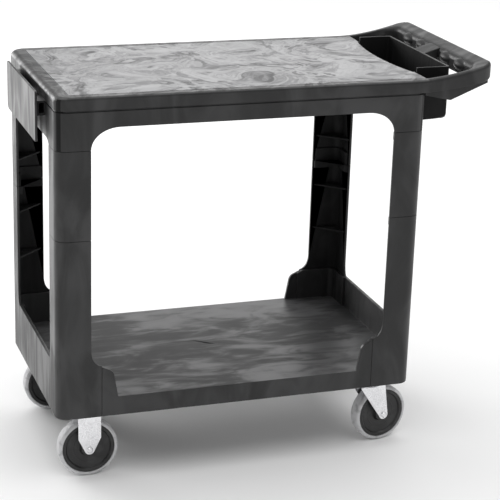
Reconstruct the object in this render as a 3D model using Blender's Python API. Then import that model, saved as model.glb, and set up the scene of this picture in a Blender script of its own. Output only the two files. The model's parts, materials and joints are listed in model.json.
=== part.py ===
"""Rolling utility cart: two moulded shelves on four two-part corner legs, a handle with a
storage bin at one end, a tool holster at the other, two rigid and two swivel casters.

Cart frame: X runs along the cart from the holster to the handle, Y across it from front to
back, Z up from the floor. The frame is centred on the whole cart's footprint.
"""

from math import acos, atan2, cos, pi, radians, sin

import bmesh
import bpy
from mathutils import Matrix, Vector

# ---- overall sizes (metres) ----
BODY_LENGTH = 0.772
BODY_WIDTH = 0.454
CORNER_R = 0.025
DECK_Z = 0.815
GAP = 0.0003
LAP = 0.001
OVERRUN = 0.01

# ---- top shelf ----
RIM_H = 0.027
GROOVE_H = 0.003
GROOVE_IN = 0.003
SKIRT_WALL = 0.0055
DECK_T = 0.007
SIDE_SKIRT_H = 0.062
END_SKIRT_H = 0.097
SOCKET_H = 0.106
GUSSET_LONG = 0.058
GUSSET_END = 0.026
RIB_W = 0.004
RIB_H = 0.014
RIBS_ALONG = 3
RIBS_ACROSS = 5

# ---- legs ----
LEG_FRONT = 0.070
LEG_SIDE = 0.065
LEG_WALL = 0.0055
UPPER_LEG_H = 0.182
SPIGOT_H = 0.028
SPIGOT_WALL = 0.0045
COLLAR_H = 0.018
UPPER_WEB_DROP = 0.124
LOWER_WEBS = 2
LOWER_WEB_SPARE = 0.4
WEB_T = 0.0035
WEB_IN = 0.002
COLLAR_IN = 0.001
SPIGOT_IN = 0.003
SPIGOT_FOOT = 0.002
COLLAR_SPARE = 0.0006

# ---- leg base and bottom shelf ----
BASE_FRONT = 0.092
BASE_SIDE = 0.075
BASE_H = 0.070
FLARE_H = 0.034
SHELF_H = 0.041
SHELF_WALL = 0.007
SHELF_T = 0.007
LINER_WALL = 0.006
EAR_W = 0.034
EAR_H = 0.068
EAR_LEAN = 0.010
EAR_FALL = 0.012
EAR_R = 0.008
EAR_FOOT_R = 0.002
EAR_END_IN = 0.002
PAD_IN = 0.002
PAD_LAP = 0.003

# ---- storage bin and handle ----
BIN_LENGTH = 0.078
BIN_END_IN = 0.070
BIN_WALL = 0.0045
BIN_RISE = 0.010
BIN_DEPTH = 0.102
HANDLE_TIP = 0.147
HANDLE_BAR = 0.037
HANDLE_TOP_RISE = 0.031
HANDLE_BOTTOM_RISE = 0.021
RISE_START = 0.027
ARM_W = 0.030
HANDLE_R = 0.028
BRIDGE_W = 0.054
BRIDGE_DROP = 0.012
BRIDGE_LIFT = 0.022
FINGER_GAP_R = 0.012
BIN_CORNER_R = 0.008
BIN_ROOM_R = 0.005
LEDGE_T = 0.005
LEDGE_UP = 0.008
LEDGE_REACH = 0.005
WEB_DEPTH = 0.023
WEB_DROP = 0.021
WEB_START_DROP = 0.008
WEB_UP = 0.012
WEB_END_IN = 0.021
WEB_TIP_IN = 0.008
WEB_TIP_DROP = 0.004
WEB_TIP_UP = 0.010
SWEEP_STATIONS = 9

# ---- tool holster ----
HOLSTER_OUT = 0.021
HOLSTER_T = 0.005
HOLSTER_W = 0.278
HOLSTER_DROP = 0.006
HOLSTER_H = 0.100
HOLSTER_ARM = 0.045
HOLSTER_ARM_DROP = 0.025
HOLSTER_ARM_H = 0.030
HOLSTER_SKIN = 0.005
HOLSTER_ARM_IN = 0.002
HOLSTER_NEAR_R = 0.003
HOLSTER_FAR_R = 0.014

# ---- casters ----
CASTER_IN_X = 0.074
CASTER_IN_Y = 0.055
WHEEL_R = 0.0625
TYRE_W = 0.030
TYRE_DEPTH = 0.008
HUB_W = 0.026
BOSS_R = 0.016
BOSS_GAP = 0.002
SLEEVE_R = 0.0065
AXLE_R = 0.004
FORK_W = 0.048
FORK_T = 0.003
FORK_TIP_R = 0.0105
RIGID_FORK_L = 0.048
RIGID_TAPER_UP = 0.0255
CASTER_HEAD_H = 0.024
PLATE_L = 0.100
PLATE_W = 0.080
PLATE_T = 0.003
TRAIL = 0.030
SWIVEL_TURN = radians(10.0)
CUP_R = 0.031
CUP_H = 0.005
BEARING_H = 0.0045
CROWN_T = 0.003
KINGPIN_R = 0.006
BOLT_X = 0.076
BOLT_Y = 0.060
BOLT_R = 0.004
BOLT_HEAD_H = 0.005
BOLT_REACH = 0.016
HEX_AF = 0.013
PLATE_CORNER_R = 0.006
CUP_EDGE = 0.002
RING_IN = 0.003
RING_BORE = 0.004
CROWN_TRIM = 0.0005
CROWN_NOSE = 0.006
KINGPIN_HEAD_H = 0.004
KINGPIN_HEAD_OUT = 0.004
HEAD_EDGE = 0.001
AXLE_HEAD_R = 0.0065
AXLE_HEAD_H = 0.0035
AXLE_HEAD_EDGE = 0.002
AXLE_NUT_H = 0.0065
AXLE_END = 0.009
HOLE_SPARE = 0.002
DISH = 0.004
DISH_SLOPE = 0.004
RIM_FACE = 0.006
BOSS_SLOPE = 0.001
TYRE_EDGE = 0.001
TYRE_LIP = 0.002
TYRE_SHOULDER_IN = 0.003
TYRE_SHOULDER_DROP = 0.002
TYRE_SHOULDER = 0.008

# ---- sides of a full turn on large, middling and small round pieces ----
ROUND = 32
MIDDLING = 20
SMALL = 12

# ---- places worked out from the sizes ----
UNDERSIDE_Z = 2 * WHEEL_R + CASTER_HEAD_H
SHELF_Z = UNDERSIDE_Z + SHELF_H
BASE_TOP = SHELF_Z + BASE_H
EAR_TOP = SHELF_Z + EAR_H
RIM_BOTTOM = DECK_Z - RIM_H
SOCKET_Z = DECK_Z - SOCKET_H
LEG_SEAM_Z = SOCKET_Z - UPPER_LEG_H
HALF_W = BODY_WIDTH / 2
HANDLE_X = BODY_LENGTH + HANDLE_TIP
BIN_X = BODY_LENGTH + BIN_LENGTH
BAR_X = HANDLE_X - HANDLE_BAR
ORIGIN_X = (HANDLE_X - HOLSTER_OUT) / 2
PLATE_TOP = UNDERSIDE_Z - GAP
PLATE_BOTTOM = PLATE_TOP - PLATE_T

CORNERS = {
    "front_left": (1, 1),
    "back_left": (1, -1),
    "front_right": (-1, 1),
    "back_right": (-1, -1),
}


def clear_scene():
    for item in list(bpy.data.objects):
        bpy.data.objects.remove(item, do_unlink=True)


def material(name, colour, roughness, metallic=0.0):
    found = bpy.data.materials.get(name)
    if found:
        return found
    made = bpy.data.materials.new(name)
    made.use_nodes = True
    shader = made.node_tree.nodes["Principled BSDF"]
    shader.inputs["Base Color"].default_value = (*colour, 1.0)
    shader.inputs["Roughness"].default_value = roughness
    shader.inputs["Metallic"].default_value = metallic
    made.diffuse_color = (*colour, 1.0)
    return made


def body_plastic():
    return material("moulded_black_plastic", (0.045, 0.045, 0.047), 0.55)


def zinc():
    return material("zinc_plated_steel", (0.72, 0.73, 0.75), 0.32, 1.0)


def hub_plastic():
    return material("hub_black_plastic", (0.020, 0.020, 0.021), 0.45)


def tyre_rubber():
    return material("grey_tread_rubber", (0.52, 0.52, 0.51), 0.6)


def empty(name, location, parent=None, turn=0.0):
    made = bpy.data.objects.new(name, None)
    made.location = location
    made.rotation_euler = (0.0, 0.0, turn)
    made.parent = parent
    bpy.context.collection.objects.link(made)
    return made


def to_object(name, mesh_data, parent, location, look, guide=False):
    bmesh.ops.recalc_face_normals(mesh_data, faces=mesh_data.faces)
    mesh = bpy.data.meshes.new(name)
    mesh_data.to_mesh(mesh)
    mesh_data.free()
    made = bpy.data.objects.new(name, mesh)
    made.location = location
    made.parent = parent
    bpy.context.collection.objects.link(made)
    if guide:
        made.hide_render = True
        made.display_type = "WIRE"
    else:
        mesh.materials.append(look)
    return made


class Piece:
    """One solid of the cart, grown and cut by closed guide shapes in its own frame."""

    def __init__(self, name, first, parent, look, location=(0.0, 0.0, 0.0)):
        self.name = name
        self.parent = parent
        self.location = location
        self.steps = 0
        self.object = to_object(name, first, parent, location, look)

    def _step(self, shape, operation):
        self.steps += 1
        label = f"{self.name}.guide_{self.steps:02d}"
        guide = to_object(label, shape, self.parent, self.location, None, guide=True)
        modifier = self.object.modifiers.new(label, "BOOLEAN")
        modifier.operation = operation
        modifier.solver = "EXACT"
        modifier.object = guide
        return self

    def add(self, shape):
        return self._step(shape, "UNION")

    def cut(self, shape):
        return self._step(shape, "DIFFERENCE")

    def smooth(self, angle=30.0):
        if self.steps:
            weld = self.object.modifiers.new("weld", "WELD")
            weld.merge_threshold = 0.00002
        self.object.data.shade_smooth()
        self.object.data.set_sharp_from_angle(angle=radians(angle))
        return self


def outline(corners, step=pi / 10):
    """Points of a closed outline; each corner is (u, v) or (u, v, radius) to round it."""
    points = []
    count = len(corners)
    for i, corner in enumerate(corners):
        here = Vector(corner[:2])
        radius = corner[2] if len(corner) > 2 else 0.0
        if radius <= 0.0:
            points.append(tuple(here))
            continue
        into = (Vector(corners[i - 1][:2]) - here).normalized()
        away = (Vector(corners[(i + 1) % count][:2]) - here).normalized()
        half = acos(max(-1.0, min(1.0, into.dot(away)))) / 2
        reach = radius / (sin(half) / cos(half))
        centre = here + (into + away).normalized() * (radius / sin(half))
        start = here + into * reach - centre
        end = here + away * reach - centre
        sweep = atan2(start.x * end.y - start.y * end.x, start.dot(end))
        parts = max(2, round(abs(sweep) / step))
        base = atan2(start.y, start.x)
        for k in range(parts + 1):
            angle = base + sweep * k / parts
            points.append((centre.x + radius * cos(angle), centre.y + radius * sin(angle)))
    return points


def prism(points, axis, low, high):
    """The closed solid of an outline drawn across an axis, from low to high along it."""
    shape = bmesh.new()
    place = {
        "X": lambda u, v, w: (w, u, v),
        "Y": lambda u, v, w: (u, w, v),
        "Z": lambda u, v, w: (u, v, w),
    }[axis]
    bottom = [shape.verts.new(place(u, v, low)) for u, v in points]
    face = shape.faces.new(bottom)
    grown = bmesh.ops.extrude_face_region(shape, geom=[face])
    tops = [item for item in grown["geom"] if isinstance(item, bmesh.types.BMVert)]
    shift = Vector(place(0.0, 0.0, high)) - Vector(place(0.0, 0.0, low))
    bmesh.ops.translate(shape, verts=tops, vec=shift)
    bmesh.ops.recalc_face_normals(shape, faces=shape.faces)
    return shape


def block(x0, x1, y0, y1, z0, z1):
    return prism([(x0, y0), (x1, y0), (x1, y1), (x0, y1)], "Z", z0, z1)


def turned(profile, axis="Z", steps=ROUND, flat_down=False):
    """A ring or disc turned about an axis from (radius, along) points that run as a loop."""
    shape = bmesh.new()
    if flat_down:
        profile = [(r / cos(pi / steps), a) for r, a in profile]
    solid = min(r for r, a in profile) <= 0.0
    verts = [shape.verts.new((r, 0.0, a)) for r, a in profile]
    edges = [shape.edges.new((verts[i], verts[i + 1])) for i in range(len(verts) - 1)]
    if not solid:
        edges.append(shape.edges.new((verts[-1], verts[0])))
    bmesh.ops.spin(
        shape, geom=verts + edges, angle=2 * pi, steps=steps, axis=(0, 0, 1), cent=(0, 0, 0)
    )
    bmesh.ops.remove_doubles(shape, verts=shape.verts, dist=0.00001)
    if axis == "Y":
        lean = Matrix.Rotation(pi / 2, 4, "X")
        spin = Matrix.Rotation(pi / 2 + pi / steps, 4, "Y") if flat_down else Matrix.Identity(4)
        bmesh.ops.transform(shape, matrix=spin @ lean, verts=shape.verts)
    bmesh.ops.recalc_face_normals(shape, faces=shape.faces)
    return shape


def moved(shape, x=0.0, y=0.0, z=0.0):
    bmesh.ops.translate(shape, verts=shape.verts, vec=(x, y, z))
    return shape


def rod(radius, low, high, axis="Z", steps=SMALL):
    return turned([(0.0, low), (radius, low), (radius, high), (0.0, high)], axis, steps)


def hexagon(across_flats, low, high, axis="Z"):
    radius = across_flats / 2 / cos(pi / 6)
    points = [(radius * cos(k * pi / 3), radius * sin(k * pi / 3)) for k in range(6)]
    return prism(points, axis, low, high)


def rectangle(x0, x1, y0, y1, left=0.0, right=0.0):
    return outline([(x0, y0, left), (x1, y0, right), (x1, y1, right), (x0, y1, left)])


def body_outline(inset=0.0, left=CORNER_R, right=CORNER_R):
    return rectangle(
        inset,
        BODY_LENGTH - inset,
        -HALF_W + inset,
        HALF_W - inset,
        max(left - inset, 0.0),
        max(right - inset, 0.0),
    )


def ribs(low, high, margin):
    """The low grid of stiffening ribs under a deck, as closed bars that all touch the deck."""
    for k in range(RIBS_ALONG):
        y = BODY_WIDTH * ((k + 1) / (RIBS_ALONG + 1) - 0.5)
        half = RIB_W / 2
        yield block(margin, BODY_LENGTH - margin, y - half, y + half, low, high)
    for k in range(RIBS_ACROSS):
        x = BODY_LENGTH * (k + 1) / (RIBS_ACROSS + 1)
        half = RIB_W / 2
        yield block(x - half, x + half, -HALF_W + margin, HALF_W - margin, low, high)


# ---- top shelf ----


def rise(x, height):
    """How far the rim has swept up towards the handle at a place along the cart."""
    start = BODY_LENGTH - RISE_START
    share = (x - start) / (HANDLE_X - start)
    share = max(0.0, min(1.0, share))
    return height * share * share * (3.0 - 2.0 * share)


def rim_strip(x0, x1, y0, y1, parts=6):
    """A stretch of the rim band that follows the upward sweep."""
    places = [x0 + (x1 - x0) * k / parts for k in range(parts + 1)]
    under = [(x, RIM_BOTTOM + rise(x, HANDLE_BOTTOM_RISE)) for x in places]
    over = [(x, DECK_Z + rise(x, HANDLE_TOP_RISE)) for x in reversed(places)]
    return prism(under + over, "Y", y0, y1)


def gusset_window(low_u, high_u, low_v, foot_v, top_v, reach):
    """An opening between two corners whose top runs out into them along quarter ellipses."""
    drop = top_v - foot_v
    rising = []
    for k in range(9):
        angle = pi / 2 * k / 8
        rising.append((reach * (1.0 - cos(angle)), foot_v + drop * sin(angle)))
    left = [(low_u + du, v) for du, v in rising]
    right = [(high_u - du, v) for du, v in reversed(rising)]
    return [(low_u, low_v)] + left + right + [(high_u, low_v)]


def top_shelf(root):
    piece = Piece(
        "top_shelf",
        prism(body_outline(), "Z", SOCKET_Z, RIM_BOTTOM - GROOVE_H),
        root,
        body_plastic(),
    )
    neck = body_outline(GROOVE_IN)
    piece.add(prism(neck, "Z", RIM_BOTTOM - GROOVE_H - LAP, RIM_BOTTOM + LAP))
    piece.add(prism(body_outline(right=0.0), "Z", RIM_BOTTOM, DECK_Z))
    for side in (-1, 1):
        edges = sorted((side * HALF_W, side * (HALF_W - ARM_W)))
        start = BODY_LENGTH - RISE_START
        piece.add(rim_strip(start - 2 * LAP, BODY_LENGTH, edges[0], edges[1]))
    hollow = body_outline(SKIRT_WALL)
    piece.cut(prism(hollow, "Z", SOCKET_Z - OVERRUN, DECK_Z - DECK_T))
    across = gusset_window(
        LEG_FRONT,
        BODY_LENGTH - LEG_FRONT,
        SOCKET_Z - 2 * OVERRUN,
        SOCKET_Z,
        DECK_Z - SIDE_SKIRT_H,
        GUSSET_LONG,
    )
    piece.cut(prism(across, "Y", -HALF_W - OVERRUN, HALF_W + OVERRUN))
    along = gusset_window(
        -HALF_W + LEG_SIDE,
        HALF_W - LEG_SIDE,
        SOCKET_Z - 2 * OVERRUN,
        SOCKET_Z,
        DECK_Z - END_SKIRT_H,
        GUSSET_END,
    )
    piece.cut(prism(along, "X", -OVERRUN, BODY_LENGTH + OVERRUN))
    under = DECK_Z - DECK_T
    for bar in ribs(under - RIB_H, under + LAP, SKIRT_WALL - LAP):
        piece.add(bar)
    return piece.smooth()


# ---- handle, bin and holster ----


def handle_and_bin(root):
    x0 = BODY_LENGTH + GAP
    inner = HALF_W - ARM_W
    loop = outline(
        [
            (x0, -HALF_W),
            (HANDLE_X, -HALF_W, HANDLE_R),
            (HANDLE_X, HALF_W, HANDLE_R),
            (x0, HALF_W),
            (x0, inner),
            (BAR_X, inner, FINGER_GAP_R),
            (BAR_X, -inner, FINGER_GAP_R),
            (x0, -inner),
        ]
    )
    band = prism(loop, "Z", 0.0, 1.0)
    for k in range(1, SWEEP_STATIONS):
        x = x0 + (HANDLE_X - x0) * k / SWEEP_STATIONS
        bmesh.ops.bisect_plane(
            band,
            geom=band.verts[:] + band.edges[:] + band.faces[:],
            plane_co=(x, 0.0, 0.0),
            plane_no=(1.0, 0.0, 0.0),
            dist=0.000001,
        )
    for vert in band.verts:
        over = vert.co.z > 0.5
        lift = rise(vert.co.x, HANDLE_TOP_RISE if over else HANDLE_BOTTOM_RISE)
        vert.co.z = (DECK_Z if over else RIM_BOTTOM) + lift
    bmesh.ops.triangulate(band, faces=band.faces)
    piece = Piece("handle_and_bin", band, root, body_plastic())
    bin_half = HALF_W - BIN_END_IN
    box = rectangle(x0, BIN_X, -bin_half, bin_half, 0.0, BIN_CORNER_R)
    piece.add(prism(box, "Z", DECK_Z - BIN_DEPTH, DECK_Z + BIN_RISE))
    ledge_z = RIM_BOTTOM + LEDGE_UP
    reach = inner + LEDGE_REACH
    piece.add(block(x0, BIN_X - 2 * LAP, -reach, reach, ledge_z, ledge_z + LEDGE_T))
    bridge = [
        (BIN_X - 3 * LAP, DECK_Z - BRIDGE_DROP),
        (BAR_X + 6 * LAP, DECK_Z),
        (BAR_X + 6 * LAP, DECK_Z + BRIDGE_LIFT),
        (BIN_X - 3 * LAP, DECK_Z + BIN_RISE - 2 * LAP),
    ]
    piece.add(prism(bridge, "Y", -BRIDGE_W / 2, BRIDGE_W / 2))
    web = [
        (x0, RIM_BOTTOM - WEB_START_DROP),
        (BIN_X - WEB_END_IN, RIM_BOTTOM - WEB_DROP),
        (HANDLE_X - WEB_TIP_IN, RIM_BOTTOM + HANDLE_BOTTOM_RISE - WEB_TIP_DROP),
        (HANDLE_X - WEB_TIP_IN, RIM_BOTTOM + HANDLE_BOTTOM_RISE + WEB_TIP_UP),
        (x0, RIM_BOTTOM + WEB_UP),
    ]
    for side in (-1, 1):
        edges = sorted((side * (HALF_W - WEB_DEPTH), side * (inner + LAP / 2)))
        piece.add(prism(web, "Y", edges[0], edges[1]))
    room_half = bin_half - BIN_WALL
    room = rectangle(x0 + BIN_WALL, BIN_X - BIN_WALL, -room_half, room_half, 0.003, BIN_ROOM_R)
    above = DECK_Z + BIN_RISE + OVERRUN
    piece.cut(prism(room, "Z", DECK_Z - BIN_DEPTH + BIN_WALL, above))
    piece.cut(block(x0 - OVERRUN, x0 + BIN_WALL, -room_half, room_half, DECK_Z, above))
    return piece.smooth()


def tool_holster(root):
    half = HOLSTER_W / 2
    head = DECK_Z - HOLSTER_DROP
    foot = head - HOLSTER_H
    plate = outline(
        [
            (-half, foot, HOLSTER_NEAR_R),
            (half, foot, HOLSTER_FAR_R),
            (half, head, HOLSTER_NEAR_R),
            (-half, head, HOLSTER_NEAR_R),
        ]
    )
    piece = Piece(
        "tool_holster",
        prism(plate, "X", -HOLSTER_OUT, -HOLSTER_OUT + HOLSTER_T),
        root,
        body_plastic(),
    )
    high = DECK_Z - HOLSTER_ARM_DROP
    low = high - HOLSTER_ARM_H
    for side in (-1, 1):
        edges = sorted((side * (half - HOLSTER_ARM_IN), side * (half - HOLSTER_ARM)))
        start = -HOLSTER_OUT + HOLSTER_T - LAP
        piece.add(block(start, -GAP, edges[0], edges[1], low, high))
        pocket = sorted((side * (half + OVERRUN), side * (half - HOLSTER_ARM + HOLSTER_SKIN)))
        skin = HOLSTER_SKIN
        piece.cut(
            block(
                start + LAP,
                -GAP - 2 * LAP,
                pocket[0],
                pocket[1],
                low + skin,
                high - skin,
            )
        )
    return piece.smooth()


# ---- legs ----


def corner_section(front, side, inset, wall, steps=5):
    """An L section around a corner at (0, 0), with its outer edge rounded."""
    outer = CORNER_R - inset
    inner = CORNER_R - inset - wall

    def bend(radius):
        place = CORNER_R
        return [
            (place - radius * cos(pi / 2 * k / steps), place - radius * sin(pi / 2 * k / steps))
            for k in range(steps + 1)
        ]

    outside = [(inset, side)] + bend(outer) + [(front, inset)]
    inside = [(front, inset + wall)] + list(reversed(bend(inner))) + [(inset + wall, side)]
    return outside + inside


def corner_web(front, side, inset, steps=5):
    """A three-sided web that fills an L section from one wall to the other."""
    radius = CORNER_R - inset
    arc = [
        (
            CORNER_R - radius * cos(pi / 2 * k / steps),
            CORNER_R - radius * sin(pi / 2 * k / steps),
        )
        for k in range(steps + 1)
    ]
    return [(inset, side)] + arc + [(front, inset)]


def at_corner(points, way):
    return [(u * way[0], v * way[1]) for u, v in points]


def corner_place(way):
    return (0.0 if way[0] > 0 else BODY_LENGTH, -HALF_W * way[1], 0.0)


def spigot(piece, way, seam, host_wall):
    """The collar under a seam and the tongue that slides up inside the piece above it."""
    inset = host_wall + GAP
    skin = LEG_WALL / 2
    full = inset + SPIGOT_WALL + COLLAR_SPARE
    collar = corner_section(LEG_FRONT - COLLAR_IN, LEG_SIDE - COLLAR_IN, skin, full - skin)
    foot = seam - COLLAR_H
    piece.add(prism(at_corner(collar, way), "Z", foot, seam - LAP))
    tongue = corner_section(LEG_FRONT - SPIGOT_IN, LEG_SIDE - SPIGOT_IN, inset, SPIGOT_WALL)
    piece.add(prism(at_corner(tongue, way), "Z", foot + SPIGOT_FOOT, seam + SPIGOT_H))


def leg_web(piece, way, z):
    shape = corner_web(LEG_FRONT - WEB_IN, LEG_SIDE - WEB_IN, WEB_IN)
    piece.add(prism(at_corner(shape, way), "Z", z - WEB_T / 2, z + WEB_T / 2))


def upper_leg(name, way, root):
    section = corner_section(LEG_FRONT, LEG_SIDE, 0.0, LEG_WALL)
    piece = Piece(
        f"upper_leg_{name}",
        prism(at_corner(section, way), "Z", LEG_SEAM_Z, SOCKET_Z - GAP),
        root,
        body_plastic(),
        corner_place(way),
    )
    spigot(piece, way, SOCKET_Z, SKIRT_WALL)
    leg_web(piece, way, SOCKET_Z - UPPER_WEB_DROP)
    return piece.smooth()


def flare(narrow, wide, steps=6):
    """The part of a wall above its base that is cut back to the leg's own width."""
    points = []
    for k in range(steps + 1):
        angle = pi / 2 * k / steps
        across = wide - (wide - narrow) * sin(angle)
        points.append((across, BASE_TOP + FLARE_H * (1.0 - cos(angle))))
    top = LEG_SEAM_Z + SPIGOT_H + OVERRUN
    past = wide + OVERRUN
    return [(past, BASE_TOP)] + points + [(narrow, top), (past, top)]


def lower_leg(name, way, root):
    front = BASE_FRONT - GAP
    side = BASE_SIDE - GAP
    section = corner_section(front, side, 0.0, LEG_WALL)
    piece = Piece(
        f"lower_leg_{name}",
        prism(at_corner(section, way), "Z", UNDERSIDE_Z, LEG_SEAM_Z - GAP),
        root,
        body_plastic(),
        corner_place(way),
    )
    across = [(u * way[0], v) for u, v in flare(LEG_FRONT, front)]
    reach = sorted((-OVERRUN * way[1], 2 * LEG_WALL * way[1]))
    piece.cut(prism(across, "Y", reach[0], reach[1]))
    along = [(u * way[1], v) for u, v in flare(LEG_SIDE, side)]
    reach = sorted((-OVERRUN * way[0], 2 * LEG_WALL * way[0]))
    piece.cut(prism(along, "X", reach[0], reach[1]))
    spigot(piece, way, LEG_SEAM_Z, LEG_WALL)
    pitch = (LEG_SEAM_Z - COLLAR_H - BASE_TOP) / (LOWER_WEBS + LOWER_WEB_SPARE)
    for number in range(LOWER_WEBS):
        leg_web(piece, way, BASE_TOP + pitch * (number + 1))
    return piece.smooth()


# ---- bottom shelf ----


def ear_window():
    """The open side of the bottom shelf, down to its deck between two raised ears."""
    left = BASE_FRONT + EAR_W
    right = BODY_LENGTH - left
    top = BASE_TOP + 2 * OVERRUN
    rim = BASE_FRONT - EAR_END_IN
    low = EAR_TOP - EAR_FALL
    return outline(
        [
            (rim, EAR_TOP),
            (left - EAR_LEAN, low, EAR_R),
            (left, SHELF_Z, EAR_FOOT_R),
            (right, SHELF_Z, EAR_FOOT_R),
            (right + EAR_LEAN, low, EAR_R),
            (BODY_LENGTH - rim, EAR_TOP),
            (BODY_LENGTH - rim, top),
            (rim, top),
        ]
    )


def shelf_room():
    """Plan of the room inside the shelf's walls, stepping in behind each leg base."""
    deep = LEG_WALL + GAP + LINER_WALL
    past = SHELF_WALL
    points = []
    for name in ("front_left", "front_right", "back_right", "back_left"):
        way = CORNERS[name]
        place = corner_place(way)
        arc = corner_section(BASE_FRONT + past, BASE_SIDE + past, 0.0, deep)
        inside = arc[len(arc) // 2 :]
        run = [(BASE_FRONT + past, SHELF_WALL)] + inside + [(SHELF_WALL, BASE_SIDE + past)]
        if way[0] * way[1] > 0:
            run.reverse()
        points += [(place[0] + u * way[0], place[1] + v * way[1]) for u, v in run]
    return points


def bolt_places():
    return [(sx * BOLT_X / 2, sy * BOLT_Y / 2) for sx in (-1, 1) for sy in (-1, 1)]


def caster_place(way):
    x = CASTER_IN_X if way[0] > 0 else BODY_LENGTH - CASTER_IN_X
    return (x, (-HALF_W + CASTER_IN_Y) * way[1], 0.0)


def bottom_shelf(root):
    piece = Piece(
        "bottom_shelf",
        prism(body_outline(), "Z", UNDERSIDE_Z, BASE_TOP),
        root,
        body_plastic(),
    )
    piece.cut(prism(shelf_room(), "Z", SHELF_Z, BASE_TOP + OVERRUN))
    piece.cut(prism(shelf_room(), "Z", UNDERSIDE_Z - OVERRUN, SHELF_Z - SHELF_T))
    piece.cut(prism(ear_window(), "Y", -HALF_W - OVERRUN, HALF_W + OVERRUN))
    under = SHELF_Z - SHELF_T
    for bar in ribs(under - RIB_H, under + LAP, SHELF_WALL - LAP):
        piece.add(bar)
    inset = LEG_WALL + GAP
    for way in CORNERS.values():
        place = corner_place(way)
        recess = corner_section(BASE_FRONT, BASE_SIDE, -OVERRUN / 2, inset + OVERRUN / 2)
        cutter = prism(at_corner(recess, way), "Z", UNDERSIDE_Z - OVERRUN, BASE_TOP + OVERRUN)
        piece.cut(moved(cutter, place[0], place[1]))
        x, y, _ = caster_place(way)
        half_x = PLATE_L / 2 - PAD_IN
        half_y = PLATE_W / 2 - PAD_IN
        pad_top = under + PAD_LAP
        pad = block(x - half_x, x + half_x, y - half_y, y + half_y, UNDERSIDE_Z, pad_top)
        piece.add(pad)
        for dx, dy in bolt_places():
            hole_top = UNDERSIDE_Z + BOLT_REACH + HOLE_SPARE
            hole = rod(BOLT_R + GAP, UNDERSIDE_Z - OVERRUN, hole_top)
            piece.cut(moved(hole, x + dx, y + dy))
    return piece.smooth()


# ---- casters ----


def fork_side(top, leg_top_low, leg_top_high, axle_x, shoulder=None):
    """Outline of a fork cheek from its top edge down to a round end about the axle."""
    axle = Vector((axle_x, WHEEL_R))
    lead = Vector((leg_top_high, shoulder if shoulder else top))
    tail = Vector((leg_top_low, shoulder if shoulder else top))

    def touch(point, side):
        away = point - axle
        turn = acos(FORK_TIP_R / away.length) * side
        return atan2(away.y, away.x) + turn

    first = touch(lead, -1)
    last = touch(tail, 1) - 2 * pi
    steps = 10
    tip = []
    for k in range(steps + 1):
        angle = first + (last - first) * k / steps
        tip.append((axle.x + FORK_TIP_R * cos(angle), axle.y + FORK_TIP_R * sin(angle)))
    above = [(leg_top_low, top), (leg_top_high, top)]
    if shoulder:
        return above + [tuple(lead)] + tip + [tuple(tail)]
    return above + tip


def drill(piece, radius, x, y, low, high):
    piece.cut(moved(rod(radius, low, high), x, y))


def axle_hole(piece, x):
    hole = rod(AXLE_R + GAP, -FORK_W, FORK_W, "Y")
    piece.cut(moved(hole, x, 0.0, WHEEL_R))


def cheeks(piece, side_outline):
    for side in (-1, 1):
        edges = sorted((side * FORK_W / 2, side * (FORK_W / 2 - FORK_T)))
        piece.add(prism(side_outline, "Y", edges[0], edges[1]))


def mounting_plate():
    half = PLATE_L / 2
    wide = PLATE_W / 2
    plan = rectangle(-half, half, -wide, wide, PLATE_CORNER_R, PLATE_CORNER_R)
    return prism(plan, "Z", PLATE_BOTTOM, PLATE_TOP)


def rigid_fork(name, base):
    piece = Piece(f"rigid_fork_{name}", mounting_plate(), base, zinc())
    edge = RIGID_FORK_L / 2
    cheeks(piece, fork_side(PLATE_TOP - LAP, -edge, edge, 0.0, WHEEL_R + RIGID_TAPER_UP))
    for dx, dy in bolt_places():
        drill(piece, BOLT_R + GAP, dx, dy, PLATE_BOTTOM - OVERRUN, PLATE_TOP + OVERRUN)
    axle_hole(piece, 0.0)
    return piece.smooth()


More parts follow.
